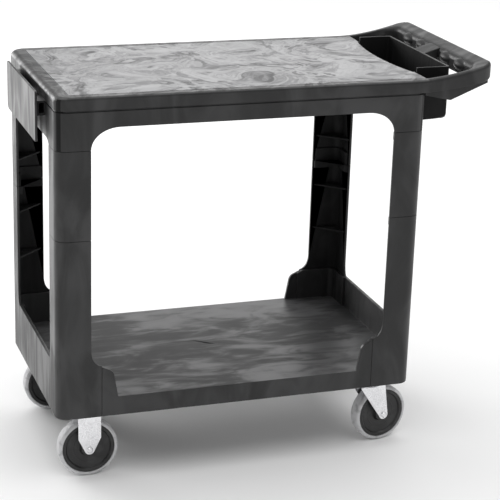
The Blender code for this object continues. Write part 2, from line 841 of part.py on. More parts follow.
def swivel_head(name, base, turner):
    """Top plate with its raceway, the ball ring, the kingpin and the raked fork."""
    top = Piece(f"swivel_plate_{name}", mounting_plate(), base, zinc())
    cup_z = PLATE_BOTTOM - CUP_H
    cup = [(0.0, cup_z), (CUP_R - CUP_EDGE, cup_z), (CUP_R, cup_z + CUP_EDGE)]
    cup += [(CUP_R, PLATE_BOTTOM + LAP), (0.0, PLATE_BOTTOM + LAP)]
    top.add(turned(cup, steps=MIDDLING))
    for dx, dy in bolt_places():
        drill(top, BOLT_R + GAP, dx, dy, PLATE_BOTTOM - OVERRUN, PLATE_TOP + OVERRUN)
    drill(top, KINGPIN_R + GAP, 0.0, 0.0, cup_z - OVERRUN, PLATE_TOP + OVERRUN)
    top.smooth()
    ring_top = cup_z - GAP
    ring_low = ring_top - BEARING_H
    ring_r = CUP_R - RING_IN
    bore = KINGPIN_R + RING_BORE
    ring = [(bore, ring_low), (ring_r, ring_low), (ring_r, ring_top), (bore, ring_top)]
    Piece(f"swivel_bearing_{name}", turned(ring, steps=MIDDLING), turner, zinc()).smooth()
    crown_top = ring_low - GAP
    crown_low = crown_top - CROWN_T
    head_r = KINGPIN_R + KINGPIN_HEAD_OUT
    head_top = crown_low - GAP
    head_low = head_top - KINGPIN_HEAD_H
    pin = [(0.0, head_low), (head_r - HEAD_EDGE, head_low), (head_r, head_low + HEAD_EDGE)]
    pin += [(head_r, head_top), (KINGPIN_R, head_top), (KINGPIN_R, PLATE_TOP), (0.0, PLATE_TOP)]
    Piece(f"swivel_kingpin_{name}", turned(pin, steps=SMALL), base, zinc()).smooth()
    crown = rod(CUP_R, crown_low, crown_top, steps=MIDDLING)
    fork = Piece(f"swivel_fork_{name}", crown, turner, zinc())
    edge = FORK_W / 2
    front = CUP_R - CROWN_TRIM
    back = -CUP_R + LAP
    fork.add(block(-CUP_R + CROWN_NOSE, front, -edge, edge, crown_low, crown_top - LAP / 5))
    cheeks(fork, fork_side(crown_top - 2 * LAP / 5, back, front, TRAIL))
    drill(fork, KINGPIN_R + GAP, 0.0, 0.0, crown_low - OVERRUN, crown_top + OVERRUN)
    axle_hole(fork, TRAIL)
    fork.smooth()


def axle_set(name, base, facing):
    """The axle bolt, its round head outward, its nut, and the sleeve the wheel turns on."""
    outer = FORK_W / 2 + GAP
    head = AXLE_HEAD_R
    face = -outer - AXLE_HEAD_H
    end = outer + AXLE_END
    bolt = [(0.0, face), (head - AXLE_HEAD_EDGE, face), (head, face + AXLE_HEAD_EDGE)]
    bolt += [(head, -outer), (AXLE_R, -outer), (AXLE_R, end), (0.0, end)]
    swapped = [(r, -a * facing) for r, a in bolt]
    Piece(f"axle_bolt_{name}", turned(swapped, "Y", SMALL), base, zinc()).smooth()
    ends = sorted((outer * facing, (outer + AXLE_NUT_H) * facing))
    nut = hexagon(HEX_AF, ends[0], ends[1], "Y")
    through = rod(AXLE_R + GAP, -FORK_W, FORK_W, "Y")
    Piece(f"axle_nut_{name}", nut, base, zinc()).cut(through).smooth()
    half = FORK_W / 2 - FORK_T - GAP
    bore = AXLE_R + GAP
    tube = [(bore, -half), (SLEEVE_R, -half), (SLEEVE_R, half), (bore, half)]
    Piece(f"axle_sleeve_{name}", turned(tube, "Y", SMALL), base, zinc()).smooth()


def wheel(name, axle):
    """Wheel core with a dished disc and hub boss, and the tyre shrunk on its rim."""
    rim = WHEEL_R - TYRE_DEPTH
    bore = SLEEVE_R + GAP
    half = HUB_W / 2
    boss = FORK_W / 2 - FORK_T - BOSS_GAP
    floor = half - DISH
    side = [(bore, boss), (BOSS_R, boss), (BOSS_R + BOSS_SLOPE, floor)]
    side += [(rim - RIM_FACE - DISH_SLOPE, floor), (rim - RIM_FACE, half), (rim, half)]
    loop = side + [(r, -a) for r, a in reversed(side)]
    core = turned(loop, "Y", ROUND, flat_down=True)
    Piece(f"wheel_core_{name}", core, axle, hub_plastic()).smooth()
    seat = rim + GAP
    wide = TYRE_W / 2
    side = [(seat, wide - TYRE_EDGE), (seat + TYRE_LIP, wide)]
    side += [(WHEEL_R - TYRE_SHOULDER_IN, wide - TYRE_SHOULDER_DROP)]
    side += [(WHEEL_R, wide - TYRE_SHOULDER)]
    loop = side + [(r, -a) for r, a in reversed(side)]
    band = turned(loop, "Y", ROUND, flat_down=True)
    Piece(f"tyre_{name}", band, axle, tyre_rubber()).smooth()


def plate_bolts(name, base):
    """Four hex screws up through the caster plate into the shelf's blind holes."""
    for number, (dx, dy) in enumerate(bolt_places(), 1):
        head_top = PLATE_BOTTOM - GAP
        head = hexagon(HEX_AF, head_top - BOLT_HEAD_H, head_top)
        piece = Piece(
            f"plate_bolt_{name}_{number}", head, base, zinc(), location=(dx, dy, 0.0)
        )
        piece.add(rod(BOLT_R, head_top - 2 * LAP, UNDERSIDE_Z + BOLT_REACH, steps=8))
        piece.smooth()


def caster(name, way, root):
    base = empty(f"caster_{name}", caster_place(way), root)
    if way[0] > 0:
        rigid_fork(name, base)
        carrier = base
        reach = 0.0
    else:
        carrier = empty(f"swivel_{name}", (0.0, 0.0, 0.0), base, SWIVEL_TURN)
        swivel_head(name, base, carrier)
        reach = TRAIL
    axle = empty(f"axle_{name}", (reach, 0.0, WHEEL_R), carrier)
    axle_set(name, axle, way[1])
    wheel(name, axle)
    plate_bolts(name, base)


def main():
    clear_scene()
    root = empty("cart", (-ORIGIN_X, 0.0, 0.0))
    top_shelf(root)
    handle_and_bin(root)
    tool_holster(root)
    bottom_shelf(root)
    for name, way in CORNERS.items():
        upper_leg(name, way, root)
        lower_leg(name, way, root)
        caster(name, way, root)


main()
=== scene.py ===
"""Rolling utility cart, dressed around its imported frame.

Every moulded and pressed piece is modelled at its real size from the frame's own boxes, then
given a procedural finish. Metres throughout: X along the cart from the tool holster to the
handle, Y across it from front to back, Z up from the floor.
"""

import json
import logging
from collections.abc import Callable, Iterator, Sequence
from contextlib import contextmanager
from dataclasses import dataclass
from enum import Enum
from math import atan2, cos, pi, radians, sin

import bmesh
import bpy
from mathutils import Matrix, Vector


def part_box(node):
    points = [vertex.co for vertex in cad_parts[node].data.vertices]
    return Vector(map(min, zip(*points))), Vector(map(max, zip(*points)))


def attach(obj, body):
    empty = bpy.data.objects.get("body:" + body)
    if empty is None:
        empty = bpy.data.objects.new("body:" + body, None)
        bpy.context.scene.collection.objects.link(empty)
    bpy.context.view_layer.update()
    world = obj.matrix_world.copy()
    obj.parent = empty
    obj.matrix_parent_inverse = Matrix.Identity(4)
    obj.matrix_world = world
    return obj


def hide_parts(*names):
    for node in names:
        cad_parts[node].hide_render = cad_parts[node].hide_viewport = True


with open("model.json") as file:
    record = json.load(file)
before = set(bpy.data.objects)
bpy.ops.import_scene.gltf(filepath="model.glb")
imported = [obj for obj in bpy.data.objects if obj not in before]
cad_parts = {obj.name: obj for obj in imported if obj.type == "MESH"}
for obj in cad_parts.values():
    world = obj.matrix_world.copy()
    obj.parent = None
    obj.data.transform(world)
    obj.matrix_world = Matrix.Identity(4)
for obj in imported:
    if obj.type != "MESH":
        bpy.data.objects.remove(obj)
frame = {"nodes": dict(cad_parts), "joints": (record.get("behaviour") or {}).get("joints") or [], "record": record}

LOG = logging.getLogger("rolling_utility_cart")
LAP = 0.0008
SEAM = 0.0003

Solid = bpy.types.Object
Socket = bpy.types.NodeSocket
Place = Sequence[float]
PointTest = Callable[[Vector], bool]
EdgeTest = Callable[[Vector, Vector], bool]
FaceTest = Callable[[Vector, Vector], bool]


class Pick(Enum):
    """What a selection in edit mode is made of."""

    POINTS = "VERT"
    EDGES = "EDGE"
    FACES = "FACE"


class Join(Enum):
    """How one solid acts on another."""

    WELD = "UNION"
    CUT = "DIFFERENCE"
    KEEP = "INTERSECT"


class Solver(Enum):
    """How a joint is worked out: the second is for closed shapes with finely rounded edges."""

    EXACT = "EXACT"
    CLOSED = "MANIFOLD"


class Corner(Enum):
    """The cart's four corners, each with its way along X and Y from the front left one."""

    FRONT_LEFT = ("front_left", 1, 1)
    BACK_LEFT = ("back_left", 1, -1)
    FRONT_RIGHT = ("front_right", -1, 1)
    BACK_RIGHT = ("back_right", -1, -1)

    @property
    def label(self) -> str:
        """The name that the frame's nodes end with."""
        return self.value[0]

    @property
    def ways(self) -> tuple[int, int]:
        """1 where the corner lies as the front left one does, -1 where it is mirrored."""
        return self.value[1], self.value[2]

    @property
    def swivels(self) -> bool:
        """Whether the caster at this corner is one of the two that turn."""
        return self.value[1] < 0


# ---- the bench: one call for each thing done to a solid ----


def clear_bench() -> None:
    """Leave edit mode and deselect everything."""
    active = bpy.context.view_layer.objects.active
    if active is not None and active.mode != "OBJECT":
        bpy.ops.object.mode_set(mode="OBJECT")
    bpy.ops.object.select_all(action="DESELECT")


def take_up(piece: Solid) -> None:
    """Make one piece the only selected and active one."""
    clear_bench()
    piece.select_set(True)
    bpy.context.view_layer.objects.active = piece


@contextmanager
def chosen(piece: Solid, pick: Pick, test: Callable[..., bool] | None = None) -> Iterator[None]:
    """Hold a piece in edit mode with some of its parts selected.

    Args:
        piece: The solid to work on.
        pick: Whether points, edges or faces are chosen.
        test: Says whether a part is chosen from its place, and from its direction for an edge
            or its normal for a face. Everything is chosen where it is left out.
    """
    take_up(piece)
    bpy.ops.object.mode_set(mode="EDIT")
    bpy.ops.mesh.select_all(action="DESELECT")
    bpy.ops.mesh.select_mode(type=pick.value)
    if test is None:
        bpy.ops.mesh.select_all(action="SELECT")
    else:
        shape = bmesh.from_edit_mesh(piece.data)
        if pick is Pick.POINTS:
            for point in shape.verts:
                point.select_set(test(point.co))
        elif pick is Pick.EDGES:
            for edge in shape.edges:
                start, end = (point.co for point in edge.verts)
                edge.select_set(test((start + end) / 2, (end - start).normalized()))
        else:
            for face in shape.faces:
                face.select_set(test(face.calc_center_median(), face.normal))
        shape.select_flush_mode()
        bmesh.update_edit_mesh(piece.data)
    yield
    bpy.ops.object.mode_set(mode="OBJECT")


def settle(piece: Solid) -> Solid:
    """Bake a piece's place, turn and scale into its mesh."""
    take_up(piece)
    bpy.ops.object.transform_apply(location=True, rotation=True, scale=True)
    return piece


def block(name: str, low: Place, high: Place) -> Solid:
    """A cuboid between two opposite corners."""
    clear_bench()
    middle = (Vector(low) + Vector(high)) / 2
    bpy.ops.mesh.primitive_cube_add(size=1.0, location=middle)
    piece = bpy.context.object
    piece.name = name
    piece.scale = Vector(high) - Vector(low)
    return settle(piece)


def drum(name: str, centre: Place, radius: float, depth: float, sides: int = 64) -> Solid:
    """A disc that lies across the cart, its axis along Y."""
    clear_bench()
    bpy.ops.mesh.primitive_cylinder_add(
        vertices=sides, radius=radius, depth=depth, location=centre, rotation=(pi / 2, 0.0, 0.0)
    )
    piece = bpy.context.object
    piece.name = name
    return settle(piece)


def pillar(name: str, centre: Place, radius: float, depth: float, sides: int = 48) -> Solid:
    """A disc or post that stands upright."""
    clear_bench()
    bpy.ops.mesh.primitive_cylinder_add(
        vertices=sides, radius=radius, depth=depth, location=centre
    )
    piece = bpy.context.object
    piece.name = name
    return settle(piece)


def pebble(name: str, centre: Place, half: Place) -> Solid:
    """An egg shape with its own half sizes."""
    clear_bench()
    bpy.ops.mesh.primitive_uv_sphere_add(segments=28, ring_count=16, radius=1.0, location=centre)
    piece = bpy.context.object
    piece.name = name
    piece.scale = half
    return settle(piece)


def round_off(piece: Solid, test: EdgeTest, radius: float, steps: int = 4) -> None:
    """Round the chosen edges."""
    with chosen(piece, Pick.EDGES, test):
        bpy.ops.mesh.bevel(offset=radius, segments=steps, profile=0.5, affect="EDGES")


def shift(piece: Solid, test: PointTest | None, by: Place) -> None:
    """Slide the chosen points."""
    with chosen(piece, Pick.POINTS, test):
        bpy.ops.transform.translate(value=by)


def stretch(piece: Solid, pick: Pick, test: Callable[..., bool] | None, by: Place) -> None:
    """Scale the chosen parts about their own middle."""
    with chosen(piece, pick, test):
        shape = bmesh.from_edit_mesh(piece.data)
        places = [point.co for point in shape.verts if point.select]
        low = Vector(min(p[k] for p in places) for k in range(3))
        high = Vector(max(p[k] for p in places) for k in range(3))
        bpy.ops.transform.resize(value=by, center_override=(low + high) / 2)


def draw_out(piece: Solid, test: FaceTest, by: Place) -> None:
    """Extrude the chosen faces."""
    with chosen(piece, Pick.FACES, test):
        bpy.ops.mesh.extrude_region_move(TRANSFORM_OT_translate={"value": by})


def step_in(piece: Solid, test: FaceTest, margin: float, depth: float = 0.0) -> None:
    """Inset the chosen faces, and raise (or sink) what is left inside the margin."""
    with chosen(piece, Pick.FACES, test):
        bpy.ops.mesh.inset(thickness=margin, depth=depth)


def saw(piece: Solid, place: Place, normal: Place, clear_far: bool = False) -> None:
    """Slice a solid with a plane, and drop the far side if asked."""
    with chosen(piece, Pick.FACES):
        bpy.ops.mesh.bisect(
            plane_co=place, plane_no=normal, clear_outer=clear_far, use_fill=clear_far
        )


def combine(piece: Solid, tool: Solid, how: Join, solver: Solver = Solver.EXACT) -> Solid:
    """Weld another solid on, or cut its shape out, and put the other solid away."""
    take_up(piece)
    step = piece.modifiers.new("joint", "BOOLEAN")
    step.operation = how.value
    step.solver = solver.value
    step.object = tool
    bpy.ops.object.modifier_apply(modifier=step.name)
    bpy.data.objects.remove(tool, do_unlink=True)
    return piece


def weld(piece: Solid, *tools: Solid, solver: Solver = Solver.EXACT) -> Solid:
    """Weld solids onto a piece."""
    for tool in tools:
        combine(piece, tool, Join.WELD, solver)
    return piece


def cut(piece: Solid, *tools: Solid, solver: Solver = Solver.EXACT) -> Solid:
    """Cut solids out of a piece."""
    for tool in tools:
        combine(piece, tool, Join.CUT, solver)
    return piece


def within(piece: Solid, tool: Solid) -> Solid:
    """Keep only the part of a piece that lies inside another solid."""
    return combine(piece, tool, Join.KEEP)


def gather(name: str, pieces: Sequence[Solid]) -> Solid:
    """Join solids into one object, each still a closed shape of its own."""
    clear_bench()
    for piece in pieces:
        piece.select_set(True)
    bpy.context.view_layer.objects.active = pieces[0]
    bpy.ops.object.join()
    joined = bpy.context.object
    joined.name = name
    return joined


def wrap_tight(piece: Solid) -> None:
    """Pull a skin tight over all the shapes in a piece."""
    with chosen(piece, Pick.POINTS):
        bpy.ops.mesh.convex_hull()


def clean_up(piece: Solid) -> None:
    """Merge doubled points and dissolve the lines that boolean steps leave on flat faces."""
    with chosen(piece, Pick.POINTS):
        bpy.ops.mesh.remove_doubles(threshold=0.00002)
    with chosen(piece, Pick.FACES):
        bpy.ops.mesh.dissolve_limited(angle_limit=radians(0.5))


def soften(piece: Solid, radius: float, steps: int = 2, angle: float = 32.0) -> None:
    """Break every sharp edge of a piece by a small radius."""
    clean_up(piece)
    take_up(piece)
    edge = piece.modifiers.new("edge", "BEVEL")
    edge.width = radius
    edge.segments = steps
    edge.limit_method = "ANGLE"
    edge.angle_limit = radians(angle)
    edge.use_clamp_overlap = False
    bpy.ops.object.modifier_apply(modifier=edge.name)


def smooth_over(piece: Solid, angle: float = 34.0) -> None:
    """Shade a piece smooth, with its flat faces kept flat."""
    take_up(piece)
    bpy.ops.object.shade_smooth_by_angle(angle=radians(angle))
    even = piece.modifiers.new("even", "WEIGHTED_NORMAL")
    even.keep_sharp = True
    even.weight = 90
    bpy.ops.object.modifier_apply(modifier=even.name)


def flipped(piece: Solid, name: str, ways: tuple[int, int], about: Place) -> Solid:
    """A copy with its own mesh, mirrored along X or Y about a point where the ways say so."""
    take_up(piece)
    bpy.ops.object.duplicate(linked=False)
    copy = bpy.context.object
    copy.name = name
    with chosen(copy, Pick.POINTS):
        bpy.ops.transform.resize(value=(ways[0], ways[1], 1), center_override=about)
        if ways[0] * ways[1] < 0:
            bpy.ops.mesh.flip_normals()
    return copy


def turned(piece: Solid, angle: float, about: Place) -> Solid:
    """Turn a piece about an upright line."""
    piece.data.transform(
        Matrix.Translation(about) @ Matrix.Rotation(angle, 4, "Z") @ Matrix.Translation(-Vector(about))
    )
    return piece


def put_away(*pieces: Solid) -> None:
    """Remove masters that have been copied."""
    for piece in pieces:
        bpy.data.objects.remove(piece, do_unlink=True)


def paint(piece: Solid, finish: bpy.types.Material, test: FaceTest | None = None) -> None:
    """Give a whole piece, or the faces that pass a test, a finish."""
    if test is None:
        piece.data.materials.clear()
        piece.data.materials.append(finish)
        for face in piece.data.polygons:
            face.material_index = 0
        return
    piece.data.materials.append(finish)
    take_up(piece)
    piece.active_material_index = len(piece.data.materials) - 1
    with chosen(piece, Pick.FACES, test):
        bpy.ops.object.material_slot_assign()


def upright(way: Vector) -> bool:
    """Whether an edge stands straight up."""
    return abs(way.z) > 0.99


def near(one: float, other: float, within: float = 0.0004) -> bool:
    """Whether two places on an axis are the same."""
    return abs(one - other) < within


# ---- finishes ----


class Wiring:
    """A material's nodes, added and joined in short calls."""

    def __init__(self, name: str) -> None:
        """Start a material with its shader and the object's own coordinates."""
        self.material = bpy.data.materials.new(name)
        self.material.use_nodes = True
        self.tree = self.material.node_tree
        self.shader = self.tree.nodes["Principled BSDF"]
        self.place = self.tree.nodes.new("ShaderNodeTexCoord").outputs["Object"]

    def node(self, kind: str, **settings: object) -> bpy.types.Node:
        """Add a node and set its properties."""
        made = self.tree.nodes.new(kind)
        for key, value in settings.items():
            setattr(made, key, value)
        return made

    def join(self, source: Socket, target: Socket) -> None:
        """Link two sockets."""
        self.tree.links.new(source, target)

    def spread(self, scale: Place, source: Socket | None = None) -> Socket:
        """The object's coordinates, stretched."""
        mapping = self.node("ShaderNodeMapping")
        mapping.inputs["Scale"].default_value = scale
        self.join(source or self.place, mapping.inputs["Vector"])
        return mapping.outputs["Vector"]

    def noise(
        self,
        where: Socket,
        scale: float,
        detail: float = 4.0,
        distortion: float = 0.0,
        colour: bool = False,
    ) -> Socket:
        """Cloudy noise, as a value or as a colour."""
        made = self.node("ShaderNodeTexNoise")
        made.inputs["Scale"].default_value = scale
        made.inputs["Detail"].default_value = detail
        made.inputs["Distortion"].default_value = distortion
        self.join(where, made.inputs["Vector"])
        return made.outputs["Color" if colour else "Fac"]

    def ramp(
        self, source: Socket, low: float, high: float, start: float = 0.0, end: float = 1.0
    ) -> Socket:
        """A value eased from start to end as the source goes from low to high."""
        made = self.node("ShaderNodeMapRange", interpolation_type="SMOOTHSTEP")
        for key, value in (("From Min", low), ("From Max", high), ("To Min", start), ("To Max", end)):
            made.inputs[key].default_value = value
        self.join(source, made.inputs["Value"])
        return made.outputs["Result"]

    def reckon(self, operation: str, one: Socket, other: Socket | float) -> Socket:
        """One value worked out from two."""
        made = self.node("ShaderNodeMath", operation=operation)
        self.join(one, made.inputs[0])
        if isinstance(other, float):
            made.inputs[1].default_value = other
        else:
            self.join(other, made.inputs[1])
        return made.outputs[0]

    def times(self, one: Socket, other: Socket | float) -> Socket:
        """Two values multiplied."""
        return self.reckon("MULTIPLY", one, other)

    def plus(self, one: Socket, other: Socket | float) -> Socket:
        """Two values added."""
        return self.reckon("ADD", one, other)

    def greater(self, one: Socket, other: Socket) -> Socket:
        """The greater of two values."""
        return self.reckon("MAXIMUM", one, other)

    def blend(
        self,
        share: Socket,
        first: Socket | Place,
        second: Socket | Place,
    ) -> Socket:
        """One colour going over into another."""
        made = self.node("ShaderNodeMix", data_type="RGBA")
        self.join(share, made.inputs["Factor"])
        ends = [item for item in made.inputs if item.type == "RGBA"]
        for socket, value in zip(ends, (first, second)):
            if isinstance(value, Socket):
                self.join(value, socket)
            else:
                socket.default_value = (*value, 1.0)
        return [item for item in made.outputs if item.type == "RGBA"][0]

    def bump(
        self, height: Socket, strength: float, distance: float,
        under: Socket | None = None,
    ) -> Socket:
        """Fine relief in the surface, on top of another relief if one is given."""
        made = self.node("ShaderNodeBump")
        made.inputs["Strength"].default_value = strength
        made.inputs["Distance"].default_value = distance
        self.join(height, made.inputs["Height"])
        if under is not None:
            self.join(under, made.inputs["Normal"])
        return made.outputs["Normal"]


def grey(level: float) -> tuple[float, float, float]:
    """A grey with the faintest cold cast."""
    return (level, level, level * 1.02)


@dataclass(frozen=True)
class MouldedWall:
    """Matt black structural foam on the outside walls, with soft flow streaks."""

    name: str = "moulded_wall"
    dark: float = 0.014
    light: float = 0.036
    gloss: float = 0.40
    streak: tuple[float, float, float] = (1.0, 2.2, 0.45)
    streak_scale: float = 11.0
    rough_low: float = 0.30
    rough_high: float = 0.50

    def make(self) -> bpy.types.Material:
        """Build the material."""
        w = Wiring(self.name)
        w.shader.inputs["Specular IOR Level"].default_value = self.gloss
        streaks = w.noise(w.spread(self.streak), self.streak_scale, 6.0, 1.4)
        clouds = w.noise(w.place, 4.5, 3.0, 0.6)
        mixed = w.plus(w.times(streaks, 0.65), w.times(clouds, 0.35))
        colour = w.blend(w.ramp(mixed, 0.40, 0.66), grey(self.dark), grey(self.light))
        w.join(colour, w.shader.inputs["Base Color"])
        w.join(w.ramp(mixed, 0.35, 0.65, self.rough_high, self.rough_low), w.shader.inputs["Roughness"])
        grain = w.noise(w.place, 900.0, 2.0)
        waves = w.noise(w.place, 38.0, 3.0, 0.5)
        relief = w.bump(grain, 0.25, 0.00012)
        w.join(w.bump(waves, 0.18, 0.0009, relief), w.shader.inputs["Normal"])
        return w.material


@dataclass(frozen=True)
class FlowMarkedDeck:
    """The top deck's face, with streaks along the cart and dark round blots, its greys lightened as painted sheen
    from light falling on the top.
    """

    low: tuple[float, float]
    high: tuple[float, float]
    name: str = "top_deck_flow_marks"
    rim: float = 0.050
    dark: float = 0.060
    # mid and light are painted sheen: greys well above the plastic's own tone, for light falling on the top face
    mid: float = 0.200
    light: float = 0.300
    blot_scale: float = 6.6
    blot_share: float = 0.80
    rough_low: float = 0.30
    rough_high: float = 0.52

    def make(self) -> bpy.types.Material:
        """Build the material."""
        w = Wiring(self.name)
        bent = w.noise(w.place, 7.0, 4.0, 0.6, colour=True)
        drift = w.node("ShaderNodeMix", data_type="VECTOR")
        drift.inputs["Factor"].default_value = 0.075
        sockets = [item for item in drift.inputs if item.type == "VECTOR"]
        w.join(w.place, sockets[0])
        w.join(bent, sockets[1])
        where = [item for item in drift.outputs if item.type == "VECTOR"][0]
        streaks = w.noise(w.spread((1.0, 4.5, 1.0), where), 5.0, 6.0, 0.5)
        fine = w.noise(w.spread((1.0, 11.0, 1.0), where), 20.0, 5.0, 0.3)
        tone = w.plus(w.times(streaks, 0.70), w.times(fine, 0.30))
        # painted sheen: the panel's streaked tone between the lightened mid and light greys
        base = w.blend(w.ramp(tone, 0.36, 0.60), grey(self.mid), grey(self.light))
        cells = w.node("ShaderNodeTexVoronoi", feature="F1")
        cells.inputs["Scale"].default_value = self.blot_scale
        cells.inputs["Randomness"].default_value = 0.55
        w.join(w.spread((1.0, 1.0, 0.0), where), cells.inputs["Vector"])
        blot = w.ramp(cells.outputs["Distance"], 0.40, 0.24)
        rim = w.ramp(cells.outputs["Distance"], 0.16, 0.30, 0.62, 1.0)
        patches = w.ramp(w.noise(w.spread((1.0, 1.0, 0.0)), 5.2, 1.0), 0.38, 0.50)
        smear = w.ramp(w.noise(w.spread((1.0, 2.0, 1.0), where), 14.0, 6.0, 0.3), 0.34, 0.60, 0.35, 1.0)
        trail = w.ramp(w.noise(w.spread((1.0, 2.4, 1.0), where), 4.6, 6.0, 0.2), 0.50, 0.64, 0.0, 0.60)
        marks = w.times(w.times(blot, rim), patches)
        marks = w.times(w.greater(marks, trail), w.times(smear, self.blot_share))
        # the panel's painted sheen, with the dark blots left out of it where the deck is marked
        painted_sheen_with_marks = w.blend(marks, base, grey(self.dark))
        inside = self.panel(w)
        rim_tone = w.blend(w.ramp(tone, 0.36, 0.62), grey(self.rim * 0.55), grey(self.rim))
        w.join(w.blend(inside, rim_tone, painted_sheen_with_marks), w.shader.inputs["Base Color"])
        rough = w.ramp(tone, 0.36, 0.64, self.rough_high, self.rough_low)
        w.join(w.plus(rough, w.times(marks, 0.28)), w.shader.inputs["Roughness"])
        relief = w.bump(w.noise(w.place, 750.0, 2.0), 0.22, 0.00012)
        w.join(w.bump(tone, 0.15, 0.0006, relief), w.shader.inputs["Normal"])
        return w.material

    def panel(self, w: Wiring) -> Socket:
        """1 on the light panel inside the deck line, where the painted sheen goes, 0 on the rim around it."""
        split = w.node("ShaderNodeSeparateXYZ")
        w.join(w.place, split.inputs["Vector"])
        share = None
        for axis in (0, 1):
            for edge, way in ((self.low[axis], 1.0), (self.high[axis], -1.0)):
                side = w.ramp(split.outputs[axis], edge - way * 0.0008, edge + way * 0.0008)
                share = side if share is None else w.times(share, side)
        return share


@dataclass(frozen=True)
class SwirledDeck:
    """The bottom deck: dark foam plastic with light and dark swirls like wood grain."""

    name: str = "bottom_deck_swirls"
    dark: float = 0.030
    light: float = 0.088
    rough_low: float = 0.34
    rough_high: float = 0.58

    def make(self) -> bpy.types.Material:
        """Build the material."""
        w = Wiring(self.name)
        flow = w.noise(w.spread((1.0, 1.7, 1.0)), 3.4, 4.0, 0.9)
        swirls = w.noise(w.spread((1.0, 2.6, 1.0)), 6.5, 9.0, 2.0)
        lines = w.noise(w.spread((1.0, 6.0, 1.0)), 15.0, 6.0, 1.2)
        tone = w.plus(w.times(swirls, 0.42), w.times(lines, 0.13))
        tone = w.plus(tone, w.times(flow, 0.45))
        colour = w.blend(w.ramp(tone, 0.44, 0.57), grey(self.dark), grey(self.light))
        w.join(colour, w.shader.inputs["Base Color"])
        w.join(w.ramp(tone, 0.38, 0.62, self.rough_high, self.rough_low), w.shader.inputs["Roughness"])
        grain = w.noise(w.place, 750.0, 2.0)
        relief = w.bump(grain, 0.22, 0.00012)
        w.join(w.bump(tone, 0.25, 0.0010, relief), w.shader.inputs["Normal"])
        return w.material


@dataclass(frozen=True)
class PlatedSteel:
    """Bright zinc plate on pressed steel, with a faint spangle and rubbed patches."""

    name: str = "zinc_plated_steel"
    bright: float = 0.88
    dull: float = 0.74
    rough_low: float = 0.24
    rough_high: float = 0.40

    def make(self) -> bpy.types.Material:
        """Build the material."""
        w = Wiring(self.name)
        w.shader.inputs["Metallic"].default_value = 1.0
        spangle = w.node("ShaderNodeTexVoronoi", feature="F1")
        spangle.inputs["Scale"].default_value = 260.0
        w.join(w.place, spangle.inputs["Vector"])
        cloud = w.noise(w.place, 26.0, 5.0, 0.8)
        tone = w.plus(w.times(spangle.outputs["Distance"], 0.30), w.times(cloud, 0.70))
        colour = w.blend(w.ramp(tone, 0.28, 0.58), grey(self.dull), grey(self.bright))
        w.join(colour, w.shader.inputs["Base Color"])
        w.join(w.ramp(tone, 0.25, 0.60, self.rough_high, self.rough_low), w.shader.inputs["Roughness"])
        scuff = w.noise(w.spread((1.0, 1.0, 9.0)), 120.0, 3.0)
        w.join(w.bump(scuff, 0.10, 0.0001), w.shader.inputs["Normal"])
        return w.material


@dataclass(frozen=True)
class HubPlastic:
    """Semi-matt black moulding of the wheel cores, dusty in the dish."""

    name: str = "wheel_core_plastic"
    dark: float = 0.012
    dusty: float = 0.034

    def make(self) -> bpy.types.Material:
        """Build the material."""
        w = Wiring(self.name)
        dust = w.noise(w.place, 34.0, 5.0, 0.7)
        colour = w.blend(w.ramp(dust, 0.42, 0.68), grey(self.dark), grey(self.dusty))
        w.join(colour, w.shader.inputs["Base Color"])
        w.join(w.ramp(dust, 0.35, 0.65, 0.34, 0.52), w.shader.inputs["Roughness"])
        w.join(w.bump(w.noise(w.place, 620.0, 2.0), 0.2, 0.0001), w.shader.inputs["Normal"])
        return w.material


@dataclass(frozen=True)
class TreadRubber:
    """Light grey non-marking tread, a little soiled where it rolls."""

    name: str = "grey_tread_rubber"
    clean: float = 0.56
    soiled: float = 0.36

    def make(self) -> bpy.types.Material:
        """Build the material."""
        w = Wiring(self.name)
        soil = w.noise(w.place, 42.0, 6.0, 1.0)
        colour = w.blend(w.ramp(soil, 0.48, 0.74), grey(self.clean), grey(self.soiled))
        w.join(colour, w.shader.inputs["Base Color"])
        w.join(w.ramp(soil, 0.40, 0.70, 0.46, 0.66), w.shader.inputs["Roughness"])
        w.join(w.bump(w.noise(w.place, 480.0, 3.0), 0.3, 0.00018), w.shader.inputs["Normal"])
        return w.material


@dataclass(frozen=True)
class StudioFloor:
    """Plain pale floor."""

    name: str = "pale_floor"
    level: float = 0.90

    def make(self) -> bpy.types.Material:
        """Build the material."""
        w = Wiring(self.name)
        faint = w.noise(w.place, 1.5, 2.0)
        w.join(w.blend(faint, (self.level,) * 3, (self.level * 0.985,) * 3), w.shader.inputs["Base Color"])
        w.shader.inputs["Roughness"].default_value = 0.9
        w.shader.inputs["Specular IOR Level"].default_value = 0.1
        return w.material


@dataclass(frozen=True)
class Finishes:
    """Every finish of the cart, made once."""

    wall: bpy.types.Material
    # inside is painted shade: the wall plastic darkened for faces that look down or into hollows
    inside: bpy.types.Material
    top_deck: bpy.types.Material
    bottom_deck: bpy.types.Material
    steel: bpy.types.Material
    hub: bpy.types.Material
    tread: bpy.types.Material

    @classmethod
    def mix(cls, low: tuple[float, float], high: tuple[float, float]) -> "Finishes":
        """Make all the materials, with the top deck's light panel between two corners."""
        return cls(
            wall=MouldedWall().make(),
            # painted shade: a darker, duller copy of the wall plastic, for undersides and for faces in hollows and
            # pockets
            inside=MouldedWall(
                "moulded_wall_inside", dark=0.006, light=0.014, rough_low=0.5, rough_high=0.7, gloss=0.2
            ).make(),
            top_deck=FlowMarkedDeck(low, high).make(),
            bottom_deck=SwirledDeck().make(),
            steel=PlatedSteel().make(),
            hub=HubPlastic().make(),
            tread=TreadRubber().make(),
        )


# ---- places shared by the sub-assemblies ----


